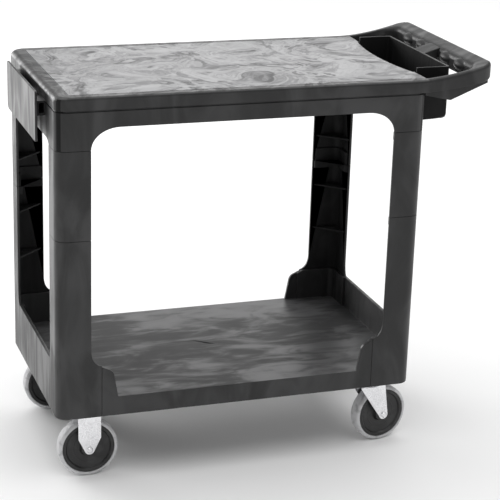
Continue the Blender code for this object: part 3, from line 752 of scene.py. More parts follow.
@dataclass(frozen=True)
class CartFrame:
    """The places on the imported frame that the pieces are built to."""

    left: float
    right: float
    tip: float
    out: float
    half: float
    deck: float
    socket: float
    seam: float
    under: float
    shelf: float
    base_top: float
    corner_r: float = 0.025
    leg_front: float = 0.070
    leg_side: float = 0.065
    leg_wall: float = 0.0055
    base_front: float = 0.092
    base_side: float = 0.075

    @classmethod
    def read(cls) -> "CartFrame":
        """Read the places off the frame's boxes and the record's two resting faces."""
        shelf_low, shelf_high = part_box("top_shelf")
        handle_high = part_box("handle_and_bin")[1]
        holster_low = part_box("tool_holster")[0]
        leg_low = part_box("upper_leg_front_left")[0]
        base_low, base_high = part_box("bottom_shelf")
        decks = {mount["name"]: mount["pos_m"][2] for mount in frame["record"]["mounts"]}
        return cls(
            left=shelf_low.x,
            right=shelf_high.x,
            tip=handle_high.x,
            out=holster_low.x,
            half=shelf_high.y,
            deck=decks["top_deck"],
            socket=shelf_low.z,
            seam=leg_low.z,
            under=base_low.z,
            shelf=decks["bottom_deck"],
            base_top=base_high.z,
        )

    @property
    def middle(self) -> float:
        """The middle of the body along X."""
        return (self.left + self.right) / 2

    def about(self) -> Vector:
        """The point that a corner piece is mirrored about."""
        return Vector((self.middle, 0.0, 0.0))


def rounded_slab(
    name: str, low: Place, high: Place, left_r: float, right_r: float, steps: int = 8
) -> Solid:
    """A slab whose upright edges are rounded, with one radius at each end."""
    piece = block(name, low, high)
    if left_r > 0:
        round_off(piece, lambda mid, way: upright(way) and near(mid.x, low[0]), left_r, steps)
    if right_r > 0:
        round_off(piece, lambda mid, way: upright(way) and near(mid.x, high[0]), right_r, steps)
    return piece


def rib_pockets(name: str, low: Vector, high: Vector, along: int, across: int, rib: float) -> Solid:
    """The pockets between a deck's ribs, as one cutter."""
    cells = []
    step_x = (high.x - low.x) / (across + 1)
    step_y = (high.y - low.y) / (along + 1)
    for i in range(across + 1):
        for k in range(along + 1):
            x0 = low.x + step_x * i + (rib / 2 if i else 0.0)
            x1 = low.x + step_x * (i + 1) - (rib / 2 if i < across else 0.0)
            y0 = low.y + step_y * k + (rib / 2 if k else 0.0)
            y1 = low.y + step_y * (k + 1) - (rib / 2 if k < along else 0.0)
            cells.append(rounded_slab("pocket", (x0, y0, low.z), (x1, y1, high.z), 0.004, 0.004, 2))
    return gather(name, cells)


def angle_bar(
    name: str, place: CartFrame, front: float, side: float, inset: float, wall: float,
    low: float, high: float,
) -> Solid:
    """An upright L section that wraps the front left corner, its outer edge rounded.

    Args:
        name: Name of the solid.
        place: The cart's places.
        front: Width of the leg on the long side.
        side: Width of the leg on the end.
        inset: How far its outer face lies inside the body's outer face.
        wall: Wall thickness.
        low: Height of the bottom end.
        high: Height of the top end.

    Returns:
        The L section.
    """
    x, y = place.left, -place.half
    bar = block(name, (x + inset, y + inset, low), (x + front, y + side, high))
    at_edge = lambda mid, way: upright(way) and near(mid.x, x + inset) and near(mid.y, y + inset)
    round_off(bar, at_edge, place.corner_r - inset, 8)
    deep = inset + wall
    room = block("room", (x + deep, y + deep, low - 0.01), (x + front + 0.02, y + side + 0.02, high + 0.01))
    at_bend = lambda mid, way: upright(way) and near(mid.x, x + deep) and near(mid.y, y + deep)
    round_off(room, at_bend, place.corner_r - deep, 8)
    return cut(bar, room)


# ---- top moulding ----


@dataclass
class TopMoulding:
    """The top shelf with its handle, storage bin and tool holster, moulded in one."""

    place: CartFrame
    finishes: Finishes
    rim_h: float = 0.027
    groove_h: float = 0.003
    groove_in: float = 0.003
    wall: float = 0.0055
    deck_t: float = 0.007
    side_skirt: float = 0.062
    end_skirt: float = 0.097
    gusset_long: float = 0.058
    gusset_end: float = 0.026
    rib_h: float = 0.014
    rib_w: float = 0.004
    end_round: float = 0.013
    side_round: float = 0.005
    line_in_end: float = 0.030
    line_in_side: float = 0.020
    line_stop: float = 0.030
    line_w: float = 0.0016
    line_deep: float = 0.0011
    line_corner: float = 0.006
    sweep_start: float = 0.020
    sweep_power: float = 1.7
    stations: int = 16
    top_rise: float = 0.031
    bottom_rise: float = 0.022
    arm_w: float = 0.014
    bar_w: float = 0.037
    tip_r: float = 0.028
    finger_r: float = 0.030
    tip_round: float = 0.0075
    grip_round: float = 0.011
    bow_r: float = 0.738
    bow_in: float = 0.019
    bin_l: float = 0.078
    bin_end_in: float = 0.070
    bin_wall: float = 0.0045
    bin_rise: float = 0.010
    bin_depth: float = 0.102
    bin_corner: float = 0.006
    bin_foot_round: float = 0.010
    lip_root: float = 0.010
    ledge_up: float = 0.008
    ledge_t: float = 0.005
    bridge_half: float = 0.027
    bridge_under: float = 0.012
    bridge_over: float = 0.008
    bridge_lift: float = 0.013
    bridge_round: float = 0.0025
    web_depth: float = 0.023
    web_drop: float = 0.021
    web_step: float = 0.013
    web_lap: float = 0.012
    web_stop: float = 0.008
    web_top_rise: float = 0.019
    web_foot_rise: float = 0.033
    pad_in: float = 0.011
    pad_sink: float = 0.0145
    pad_half: tuple[float, float, float] = (0.019, 0.031, 0.0150)
    pad_places: tuple[float, float] = (0.062, 0.132)
    holster_t: float = 0.005
    holster_w: float = 0.278
    holster_drop: float = 0.006
    holster_h: float = 0.100
    arm_wide: float = 0.045
    arm_drop: float = 0.025
    arm_h: float = 0.030
    skin: float = 0.005
    holster_foot_round: float = 0.014
    holster_round: float = 0.0025
    edge_r: float = 0.0011
    under_share: float = 0.45
    inner_share: float = 0.16
    grades: int = 12

    @classmethod
    def panel_corners(cls, place: CartFrame) -> tuple[tuple[float, float], tuple[float, float]]:
        """The corners of the light panel that the deck line frames."""
        low = (place.left + cls.line_in_end, -place.half + cls.line_in_side)
        return low, (place.tip, place.half - cls.line_in_side)

    @property
    def rim_bottom(self) -> float:
        """Height of the rim band's lower edge."""
        return self.place.deck - self.rim_h

    @property
    def bar_x(self) -> float:
        """Where the handle bar begins."""
        return self.place.tip - self.bar_w

    @property
    def bin_x(self) -> float:
        """The storage bin's outer end."""
        return self.place.right + self.bin_l

    def rise(self, x: float, height: float) -> float:
        """How far the rim has swept up at a place along the cart."""
        start = self.place.right - self.sweep_start
        share = max(0.0, min(1.0, (x - start) / (self.place.tip - start)))
        return height * share**self.sweep_power

    def band(self) -> Solid:
        """The rim band that runs round the deck and on into the handle, still level."""
        p = self.place
        band = rounded_slab(
            "top_moulding",
            (p.left, -p.half, self.rim_bottom),
            (p.tip, p.half, p.deck),
            p.corner_r,
            self.tip_r,
        )
        opening = rounded_slab(
            "opening",
            (p.right, -p.half + self.arm_w, self.rim_bottom - 0.05),
            (self.bar_x, p.half - self.arm_w, p.deck + 0.06),
            0.0,
            self.finger_r,
        )
        cut(band, opening, solver=Solver.CLOSED)
        self.round_edges(band)
        return band

    def rim_weight(self, mid: Vector, way: Vector) -> float:
        """How far an edge of the band is rounded, as a share of the broadest round."""
        p = self.place
        if abs(way.z) > 0.7:
            return 0.0
        side = self.side_round / self.end_round
        inner = p.half - self.arm_w
        to_tip = max(0.0, min(1.0, (mid.x - p.tip + self.tip_r) / self.tip_r))
        outside = abs(mid.y) > p.half - 0.0005 or mid.x > p.tip - self.tip_r + 0.0005
        outside = outside or mid.x < p.left + p.corner_r - 0.0005
        crosswise = abs(way.y) > 0.99 and abs(mid.y) < inner - self.finger_r
        if near(mid.z, self.rim_bottom):
            return to_tip * self.under_share if outside and not (crosswise and mid.x < p.tip - 0.001) else 0.0
        if not near(mid.z, p.deck):
            return 0.0
        if outside and not (crosswise and p.left + 0.001 < mid.x < p.tip - 0.001):
            from_end = max(0.0, min(1.0, (mid.x - p.left) / p.corner_r))
            end = 1.0 - (1.0 - side) * from_end
            return max(end, side + (self.tip_round / self.end_round - side) * to_tip)
        if mid.x > p.right + 0.002 and abs(mid.y) < inner + 0.001 and mid.x < self.bar_x + 0.001:
            turn = max(0.0, min(1.0, (mid.x - self.bar_x + self.finger_r) / self.finger_r))
            along = not crosswise or mid.x > self.bar_x - 0.001
            grip = self.grip_round / self.end_round
            return self.inner_share + (grip - self.inner_share) * turn if along else 0.0
        return 0.0

    def round_edges(self, band: Solid) -> None:
        """Round the band: broadly at the holster end and the grip, less along the sides."""
        for grade in range(1, self.grades + 1):
            with chosen(
                band,
                Pick.EDGES,
                lambda mid, way, grade=grade: round(self.rim_weight(mid, way) * self.grades) == grade,
            ):
                bpy.ops.transform.edge_bevelweight(value=grade / self.grades)
        take_up(band)
        curve = band.modifiers.new("rim", "BEVEL")
        curve.width = self.end_round
        curve.segments = 5
        curve.limit_method = "WEIGHT"
        curve.use_clamp_overlap = False
        bpy.ops.object.modifier_apply(modifier=curve.name)

    def sweep_up(self, piece: Solid) -> None:
        """Lift the handle end of the band along the rim's upward sweep."""
        p = self.place
        start = p.right - self.sweep_start
        for k in range(self.stations):
            saw(piece, (start + (p.tip - start) * k / self.stations, 0.0, 0.0), (1.0, 0.0, 0.0))
        clear_bench()
        for point in piece.data.vertices:
            up = (point.co.z - self.rim_bottom) / self.rim_h
            if point.co.x > start and up > -0.05:
                share = max(0.0, min(1.0, up))
                height = self.bottom_rise + (self.top_rise - self.bottom_rise) * share
                point.co.z += self.rise(point.co.x, height)
        piece.data.update()

    def skirt(self) -> list[Solid]:
        """The skirt under the band, and the neck that leaves the groove between them."""
        p = self.place
        top = self.rim_bottom - self.groove_h
        skirt = rounded_slab(
            "skirt", (p.left, -p.half, p.socket), (p.right, p.half, top), p.corner_r, p.corner_r
        )
        g = self.groove_in
        neck = rounded_slab(
            "neck",
            (p.left + g, -p.half + g, top - 0.001),
            (p.right - g, p.half - g, self.rim_bottom + 0.004),
            p.corner_r - g,
            p.corner_r - g,
        )
        return [neck, skirt]

    def hollows(self) -> list[Solid]:
        """The room inside the skirt, the pockets between the ribs and the openings in the skirt."""
        p, w = self.place, self.wall
        under = p.deck - self.deck_t
        low = Vector((p.left + w, -p.half + w, p.socket - 0.01))
        high = Vector((p.right - w, p.half - w, under - self.rib_h))
        room = rounded_slab("room", low, high, p.corner_r - w, p.corner_r - w)
        inner = 0.010
        pockets = rib_pockets(
            "pockets",
            Vector((low.x + inner, low.y + inner, under - self.rib_h - 0.001)),
            Vector((high.x - inner, high.y - inner, under)),
            3,
            5,
            self.rib_w,
        )
        return [room, pockets, self.long_window(), self.end_window()]

    def window(self, low: Vector, high: Vector, reach: float, along: int) -> Solid:
        """An opening whose top corners are quarter ellipses.

        Args:
            low: Lowest corner.
            high: Highest corner.
            reach: How far each corner curve runs along the opening.
            along: 0 for an opening in a long side, 1 for one in an end.

        Returns:
            The cutter.
        """
        drop = high.z - self.place.socket
        scale = [1.0, 1.0, 1.0]
        scale[along] = drop / reach
        centre = (low + high) / 2
        half = (high - low) / 2
        half[along] *= scale[along]
        tool = block("window", centre - half, centre + half)
        ends = (centre[along] - half[along], centre[along] + half[along])
        round_off(
            tool,
            lambda mid, way: near(mid.z, high.z) and any(near(mid[along], end) for end in ends),
            drop,
            12,
        )
        back = [1.0 / value for value in scale]
        stretch(tool, Pick.POINTS, None, back)
        return tool

    def long_window(self) -> Solid:
        """The opening under both long sides of the skirt."""
        p = self.place
        return self.window(
            Vector((p.left + p.leg_front, -p.half - 0.01, p.socket - 0.03)),
            Vector((p.right - p.leg_front, p.half + 0.01, p.deck - self.side_skirt)),
            self.gusset_long,
            0,
        )

    def end_window(self) -> Solid:
        """The opening under both ends of the skirt."""
        p = self.place
        return self.window(
            Vector((p.left - 0.01, -p.half + p.leg_side, p.socket - 0.03)),
            Vector((p.right + 0.01, p.half - p.leg_side, p.deck - self.end_skirt)),
            self.gusset_end,
            1,
        )

    def bowed(self, name: str, half: float, end: float, low: float, high: float, skin: float) -> Solid:
        """A slab whose deck side is bowed, so that the deck ends in a shallow arc.

        Args:
            name: Name of the solid.
            half: Half of its width across the cart.
            end: Where it ends towards the handle.
            low: Height of its underside.
            high: Height of its top.
            skin: How far its bowed side lies outside the arc of the deck's edge.

        Returns:
            The slab.
        """
        p = self.place
        near_end = (p.right - 0.06, -half, low)
        slab = rounded_slab(name, near_end, (end, half, high), 0.0, self.bin_corner, 4)
        centre = (p.right - self.bow_in + self.bow_r, 0.0, (low + high) / 2)
        arc = pillar("arc", centre, self.bow_r + skin, high - low + 0.02, 360)
        return within(slab, arc)

    def storage_bin(self) -> list[Solid]:
        """The bin, the raised lip round its outer side and the floor of the side trays."""
        p = self.place
        half = p.half - self.bin_end_in
        skin = self.bin_wall
        floor = p.deck - self.bin_depth
        box = self.bowed("bin", half, self.bin_x, floor, p.deck - 0.001, skin)
        at_foot = lambda mid, way: near(mid.z, floor) and mid.x > self.bin_x - 0.012
        round_off(box, at_foot, self.bin_foot_round, 4)
        lip_low = (p.right + 0.003, -half, p.deck - self.lip_root)
        lip = block("lip", lip_low, (self.bin_x, half, p.deck + self.bin_rise))
        at_end = lambda mid, way: upright(way) and near(mid.x, self.bin_x)
        round_off(lip, at_end, self.bin_corner, 4)
        ledge_z = self.rim_bottom + self.ledge_up
        wide = p.half - self.arm_w + 0.005
        ledge = self.bowed("ledge", wide, self.bin_x - 0.002, ledge_z, ledge_z + self.ledge_t, skin)
        return [box, lip, ledge]

    def bridge(self) -> Solid:
        """The bridge from the bin's outer wall to the middle of the bar."""
        p = self.place
        start, end = self.bin_x - 0.003, self.bar_x + 0.006
        half = self.bridge_half
        low = (start, -half, p.deck - self.bridge_under)
        bridge = block("bridge", low, (end, half, p.deck + self.bridge_over))
        shift(bridge, lambda at: near(at.x, end), (0.0, 0.0, self.bridge_lift))
        soften(bridge, self.bridge_round)
        return bridge

    def arm_webs(self) -> list[Solid]:
        """The deeper web under each handle arm, set back from its outer face."""
        p = self.place
        webs = []
        for side in (-1, 1):
            ends = sorted((side * (p.half - self.web_depth), side * (p.half - self.arm_w + 0.0005)))
            far = self.bin_x - self.web_drop
            web = block(
                "web",
                (p.right - LAP, ends[0], self.rim_bottom - self.web_drop),
                (far, ends[1], self.rim_bottom + self.web_lap),
            )
            at_root = lambda at: at.x < p.right and at.z < self.rim_bottom - 0.01
            shift(web, at_root, (0.0, 0.0, self.web_step))
            run = p.tip - self.web_stop - far
            draw_out(web, lambda mid, normal: normal.x > 0.9, (run, 0.0, 0.0))
            end = far + run
            at_top = lambda at: near(at.x, end) and at.z > self.rim_bottom
            at_foot = lambda at: near(at.x, end) and at.z < self.rim_bottom
            shift(web, at_top, (0.0, 0.0, self.web_top_rise))
            shift(web, at_foot, (0.0, 0.0, self.web_foot_rise))
            webs.append(web)
        return webs

    def finger_pads(self) -> list[Solid]:
        """The soft swellings along the bar's inner side, two in each finger gap."""
        top = self.place.deck + self.rise(self.bar_x, self.top_rise)
        return [
            pebble("pad", (self.bar_x + self.pad_in, side * y, top - self.pad_sink), self.pad_half)
            for side in (-1, 1)
            for y in self.pad_places
        ]

    def bin_room(self) -> list[Solid]:
        """The room inside the bin and the side trays, up to the bowed edge of the deck."""
        p, w = self.place, self.bin_wall
        half = p.half - self.bin_end_in - w
        floor = p.deck - self.bin_depth + w
        room = self.bowed("bin_room", half, self.bin_x - w, floor, p.deck + 0.05, 0.0)
        trays = []
        tray_floor = self.rim_bottom + self.ledge_up + self.ledge_t
        wide = p.half - self.arm_w
        for side in (-1, 1):
            tray = self.bowed("tray", wide, p.right + 0.02, tray_floor, p.deck + 0.05, 0.0)
            saw(tray, (0.0, side * (half + w), 0.0), (0.0, -side, 0.0), clear_far=True)
            trays.append(tray)
        return [room, *trays]

    def holster(self) -> Solid:
        """The tool holster: a plate that stands off the end on two hollow arms."""
        p = self.place
        half = self.holster_w / 2
        top = p.deck - self.holster_drop
        foot = top - self.holster_h
        plate = block("holster", (p.out, -half, foot), (p.out + self.holster_t, half, top))
        crosswise = lambda way: abs(way.x) > 0.99
        at_far_foot = lambda mid, way: crosswise(way) and mid.z < foot + 0.01 and mid.y > 0
        at_others = lambda mid, way: crosswise(way) and (mid.z > top - 0.001 or mid.y < -0.1)
        round_off(plate, at_far_foot, self.holster_foot_round, 5)
        round_off(plate, at_others, self.holster_round, 2)
        high = p.deck - self.arm_drop
        low = high - self.arm_h
        for side in (-1, 1):
            ends = sorted((side * (half - 0.002), side * (half - self.arm_wide)))
            start = p.out + self.holster_t - 0.001
            weld(plate, block("arm", (start, ends[0], low), (p.left + 0.003, ends[1], high)))
            room = sorted((side * (half + 0.01), side * (half - self.arm_wide + self.skin)))
            pocket = block(
                "pocket",
                (start + 0.005, room[0], low + self.skin),
                (p.left - 0.002, room[1], high - self.skin),
            )
            cut(plate, pocket)
        return plate

    def deck_line(self) -> Solid:
        """The fine line let into the deck near its holster end and long sides."""
        p = self.place
        low = Vector((p.left + self.line_in_end, -p.half + self.line_in_side, p.deck - self.line_deep))
        high = Vector((p.right + 0.02, p.half - self.line_in_side, p.deck + 0.01))
        ring = rounded_slab("line", low, high, self.line_corner, 0.0, 4)
        w = self.line_w
        core = rounded_slab(
            "core",
            (low.x + w, low.y + w, low.z - 0.01),
            (high.x + 0.01, high.y - w, high.z + 0.01),
            self.line_corner - w,
            0.0,
            4,
        )
        cut(ring, core)
        stop_low = (p.right - self.line_stop, -p.half, p.deck - 0.02)
        stop = block("stop", stop_low, (p.right + 0.05, p.half, p.deck + 0.05))
        return cut(ring, stop)

    def dim(self, mid: Vector, normal: Vector) -> bool:
        """Whether a face looks down, or into the bin, the trays, the hollow under the deck or the holster's arms;
        these faces get painted shade.
        """
        p = self.place
        in_bin = p.right - 0.03 < mid.x < self.bin_x - 0.002 and abs(mid.y) < p.half - self.arm_w - 0.002
        in_bin = in_bin and self.rim_bottom - self.bin_depth < mid.z < p.deck + 0.004
        holster = mid.x < p.left - 0.001
        hollow = p.left + 0.004 < mid.x < p.right - 0.004 and abs(mid.y) < p.half - 0.004
        hollow = hollow and mid.z < p.deck - 0.004
        below = normal.z < -0.6 and not holster
        pocket = holster and mid.x > p.out + self.holster_t and mid.z < p.deck - self.arm_drop - 0.003
        return below or in_bin or hollow or pocket

    def build(self) -> Solid:
        """Model the moulding, dress it and hang it on the cart."""
        p = self.place
        shell = weld(self.band(), *self.skirt(), solver=Solver.CLOSED)
        cut(shell, *self.hollows(), *self.bin_room(), solver=Solver.CLOSED)
        soften(shell, self.edge_r)
        cut(shell, self.deck_line(), solver=Solver.CLOSED)
        self.sweep_up(shell)
        box, *rest = self.storage_bin()
        cut(weld(box, *rest), *self.bin_room())
        holster = self.holster()
        webs = self.arm_webs()
        for part in (box, holster, *webs):
            soften(part, self.edge_r)
        parts = [shell, box, holster, self.bridge(), *webs, *self.finger_pads()]
        piece = gather("top_moulding", parts)
        paint(piece, self.finishes.wall)
        # painted shade: the darker copy of the wall plastic on faces that look down or into the bin, the trays,
        # the hollow and the holster's arms
        paint(piece, self.finishes.inside, self.dim)
        # the top deck finish: streaks and blots, with greys lightened as painted sheen
        paint(
            piece,
            self.finishes.top_deck,
            lambda mid, normal: normal.z > 0.5 and mid.z > p.deck - 0.008 and p.left < mid.x < p.right,
        )
        smooth_over(piece)
        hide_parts("top_shelf", "handle_and_bin", "tool_holster")
        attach(piece, "cart")
        return piece


# ---- legs ----


@dataclass
class CornerLegs:
    """The eight leg halves: an upper and a lower L section at each corner."""

    place: CartFrame
    finishes: Finishes
    skirt_wall: float = 0.0055
    tongue_wall: float = 0.0045
    tongue_h: float = 0.028
    collar_h: float = 0.018
    collar_back: float = 0.0025
    tongue_back: float = 0.005
    tongue_root: float = 0.002
    joint_gap: float = 0.001
    web_t: float = 0.0035
    web_lap: float = 0.002
    upper_web_drop: float = 0.124
    lower_webs: int = 2
    web_spare: float = 0.4
    flare_h: float = 0.034
    edge_r: float = 0.0010
    web_edge_r: float = 0.0006

    def joint(self, leg: Solid, seam: float, host_wall: float) -> None:
        """Add the collar under a seam and the tongue that fits inside the piece above."""
        p = self.place
        inset = host_wall + SEAM
        skin = p.leg_wall / 2
        collar = angle_bar(
            "collar", p, p.leg_front - self.collar_back, p.leg_side - self.collar_back, skin,
            inset + self.tongue_wall + self.collar_back - skin, seam - self.collar_h,
            seam - self.joint_gap,
        )
        tongue = angle_bar(
            "tongue", p, p.leg_front - self.tongue_back, p.leg_side - self.tongue_back, inset,
            self.tongue_wall, seam - self.collar_h + self.tongue_root, seam + self.tongue_h,
        )
        weld(leg, collar, tongue)

    def web(self, height: float) -> Solid:
        """A level web that closes the L from wall to wall."""
        p = self.place
        lap, half_t = self.web_lap, self.web_t / 2
        low = Vector((p.left + lap, -p.half + lap, height - half_t))
        high = Vector((p.left + p.leg_front - lap, -p.half + p.leg_side - lap, height + half_t))
        web = block("web", low, high)
        at_edge = lambda mid, way: upright(way) and near(mid.x, low.x) and near(mid.y, low.y)
        round_off(web, at_edge, p.corner_r - lap, 8)
        slant = (high.y - low.y, high.x - low.x, 0.0)
        saw(web, (high.x, low.y + 0.001, height), slant, clear_far=True)
        soften(web, self.web_edge_r)
        return web

    def upper(self) -> Solid:
        """Model the upper half at the front left corner."""
        p = self.place
        leg = angle_bar("upper_leg", p, p.leg_front, p.leg_side, 0.0, p.leg_wall, p.seam, p.socket - SEAM)
        self.joint(leg, p.socket, self.skirt_wall)
        soften(leg, self.edge_r)
        return gather("upper_leg", [leg, self.web(p.socket - self.upper_web_drop)])

    def lower(self) -> Solid:
        """Model the lower half at the front left corner, flared out into its base."""
        p = self.place
        front = p.base_front - SEAM
        side = p.base_side - SEAM
        leg = angle_bar("lower_leg", p, front, side, 0.0, p.leg_wall, p.under, p.seam - SEAM)
        cut(leg, self.flare(0, p.leg_front, front), self.flare(1, p.leg_side, side))
        self.joint(leg, p.seam, p.leg_wall)
        pitch = (p.seam - self.collar_h - p.base_top) / (self.lower_webs + self.web_spare)
        soften(leg, self.edge_r)
        webs = [self.web(p.base_top + pitch * (number + 1)) for number in range(self.lower_webs)]
        return gather("lower_leg", [leg, *webs])

    def flare(self, along: int, narrow: float, wide: float) -> Solid:
        """What is cut off one wall above the base, with its lower end swept out in a curve."""
        p = self.place
        corner = Vector((p.left, -p.half, 0.0))
        low = Vector((-0.01, -0.01, p.base_top))
        high = Vector((0.012, 0.012, p.seam + 0.05))
        drop = self.flare_h
        low[along] = narrow
        high[along] = narrow + drop + 0.03
        tool = block("flare", corner + low, corner + high)
        round_off(
            tool,
            lambda mid, way: near(mid.z, p.base_top) and near(mid[along], corner[along] + narrow),
            drop,
            10,
        )
        squeeze = [1.0, 1.0, 1.0]
        squeeze[along] = (wide - narrow) / drop
        middle = corner + low
        with chosen(tool, Pick.POINTS):
            bpy.ops.transform.resize(value=squeeze, center_override=middle)
        return tool

    def within_walls(self, mid: Vector, normal: Vector) -> bool:
        """Whether a face of the front left leg looks into the L, where painted shade goes."""
        p = self.place
        deep = self.place.leg_wall * 0.6
        inner = mid.x > p.left + deep and mid.y > -p.half + deep
        return inner and (normal.x > 0.3 or normal.y > 0.3 or normal.z < -0.5)

    def build(self) -> list[Solid]:
        """Model both halves once, and copy them to every corner."""
        made = []
        for part, master in (("upper_leg", self.upper()), ("lower_leg", self.lower())):
            paint(master, self.finishes.wall)
            # painted shade: the darker copy of the wall plastic on the faces inside the L
            paint(master, self.finishes.inside, self.within_walls)
            for corner in Corner:
                node = f"{part}_{corner.label}"
                piece = flipped(master, f"{part}_moulding_{corner.label}", corner.ways, self.place.about())
                smooth_over(piece)
                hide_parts(node)
                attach(piece, "cart")
                made.append(piece)
            put_away(master)
        return made


# ---- bottom shelf ----


@dataclass
class BottomShelf:
    """The bottom shelf: a deck with raised ends and an ear beside each leg base."""

    place: CartFrame
    finishes: Finishes
    wall: float = 0.007
    deck_t: float = 0.007
    liner: float = 0.006
    ear_w: float = 0.034
    ear_lean: float = 0.010
    ear_top: float = 0.063
    ear_drop: float = 0.007
    ear_step: float = 0.012
    ear_round: float = 0.008
    edge_r: float = 0.0011
    rib_h: float = 0.014
    rib_w: float = 0.004
    pad_half_x: float = 0.048
    pad_half_y: float = 0.038

    def rooms(self, low: float, high: float) -> list[Solid]:
        """The room inside the walls between two heights, stepped in behind the leg bases."""
        p = self.place
        deep = p.leg_wall + SEAM + self.liner
        near_walls = rounded_slab(
            "room", (p.left + deep, -p.half + deep, low), (p.right - deep, p.half - deep, high),
            p.corner_r - deep, p.corner_r - deep,
        )
        step_x = p.base_front + self.wall
        step_y = p.base_side + self.wall
        long_sides = block(
            "room", (p.left + step_x, -p.half + self.wall, low), (p.right - step_x, p.half - self.wall, high)
        )
        ends = block(
            "room", (p.left + self.wall, -p.half + step_y, low), (p.right - self.wall, p.half - step_y, high)
        )
        return [near_walls, long_sides, ends]

    def side_opening(self) -> Solid:
        """The low front and back, open down to the deck between sloping ears."""
        p = self.place
        x0 = p.left + p.base_front + self.ear_w
        x1 = p.right - p.base_front - self.ear_w
        shoulder = p.shelf + self.ear_top - self.ear_drop
        tool = block("opening", (x0, -p.half - 0.01, p.shelf), (x1, p.half + 0.01, shoulder))
        self.widen(tool, shoulder, x1 - x0, self.ear_lean)
        rim = p.base_front - 0.002
        draw_out(tool, lambda mid, normal: normal.z > 0.9, (0.0, 0.0, self.ear_step))
        span = x1 - x0 + 2 * self.ear_lean
        self.widen(tool, shoulder + self.ear_step, span, (p.right - p.left - 2 * rim - span) / 2)
        draw_out(tool, lambda mid, normal: normal.z > 0.9, (0.0, 0.0, 0.04))
        lip = lambda mid, way: near(mid.z, shoulder) and abs(way.y) > 0.99
        round_off(tool, lip, self.ear_round, 4)
        return tool

    def widen(self, tool: Solid, height: float, span: float, by: float) -> None:
        """Spread the points at one height outwards along X."""
        stretch(tool, Pick.POINTS, lambda at: near(at.z, height), ((span + 2 * by) / span, 1.0, 1.0))

    def build(self) -> Solid:
        """Model the shelf, dress it and hang it on the cart."""
        p = self.place
        piece = rounded_slab(
            "bottom_shelf_moulding", (p.left, -p.half, p.under), (p.right, p.half, p.base_top),
            p.corner_r, p.corner_r,
        )
        under = p.shelf - self.deck_t
        cut(piece, *self.rooms(p.shelf, p.base_top + 0.05))
        cut(piece, *self.rooms(p.under - 0.05, under - self.rib_h))
        inner = p.leg_wall + SEAM + self.liner + 0.008
        cut(
            piece,
            rib_pockets(
                "pockets",
                Vector((p.left + inner, -p.half + inner, under - self.rib_h - 0.001)),
                Vector((p.right - inner, p.half - inner, under)),
                3,
                5,
                self.rib_w,
            ),
            self.side_opening(),
        )
        inset = p.leg_wall + SEAM
        recess = angle_bar(
            "recess", p, p.base_front, p.base_side, -0.004, inset + 0.004, p.under - 0.02, p.base_top + 0.02
        )
        for corner in Corner:
            cut(piece, flipped(recess, "recess", corner.ways, p.about()))
        put_away(recess)
        weld(piece, gather("pads", [self.pad(corner, under) for corner in Corner]))
        soften(piece, self.edge_r)
        paint(piece, self.finishes.wall)
        # painted shade: the darker copy of the wall plastic on faces that look down and on those under the deck
        under_deck = p.shelf - self.deck_t / 2
        paint(
            piece,
            self.finishes.inside,
            lambda mid, normal: normal.z < -0.6 or (
                mid.z < under_deck and abs(mid.x - p.middle) < p.right - p.middle - 0.005
                and abs(mid.y) < p.half - 0.005
            ),
        )
        paint(
            piece,
            self.finishes.bottom_deck,
            lambda mid, normal: normal.z > 0.7 and near(mid.z, p.shelf, 0.002),
        )
        smooth_over(piece)
        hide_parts("bottom_shelf")
        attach(piece, "cart")
        return piece

    def pad(self, corner: Corner, under: float) -> Solid:
        """The solid pad that a caster's plate is screwed to."""
        plates = ("rigid_fork", "swivel_plate")
        low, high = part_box(f"{plates[corner.swivels]}_{corner.label}")
        x = (low.x + high.x) / 2
        y = (low.y + high.y) / 2
        dx, dy = self.pad_half_x, self.pad_half_y
        return rounded_slab(
            "pad", (x - dx, y - dy, self.place.under), (x + dx, y + dy, under + 0.003), 0.004, 0.004, 3
        )


# ---- casters ----


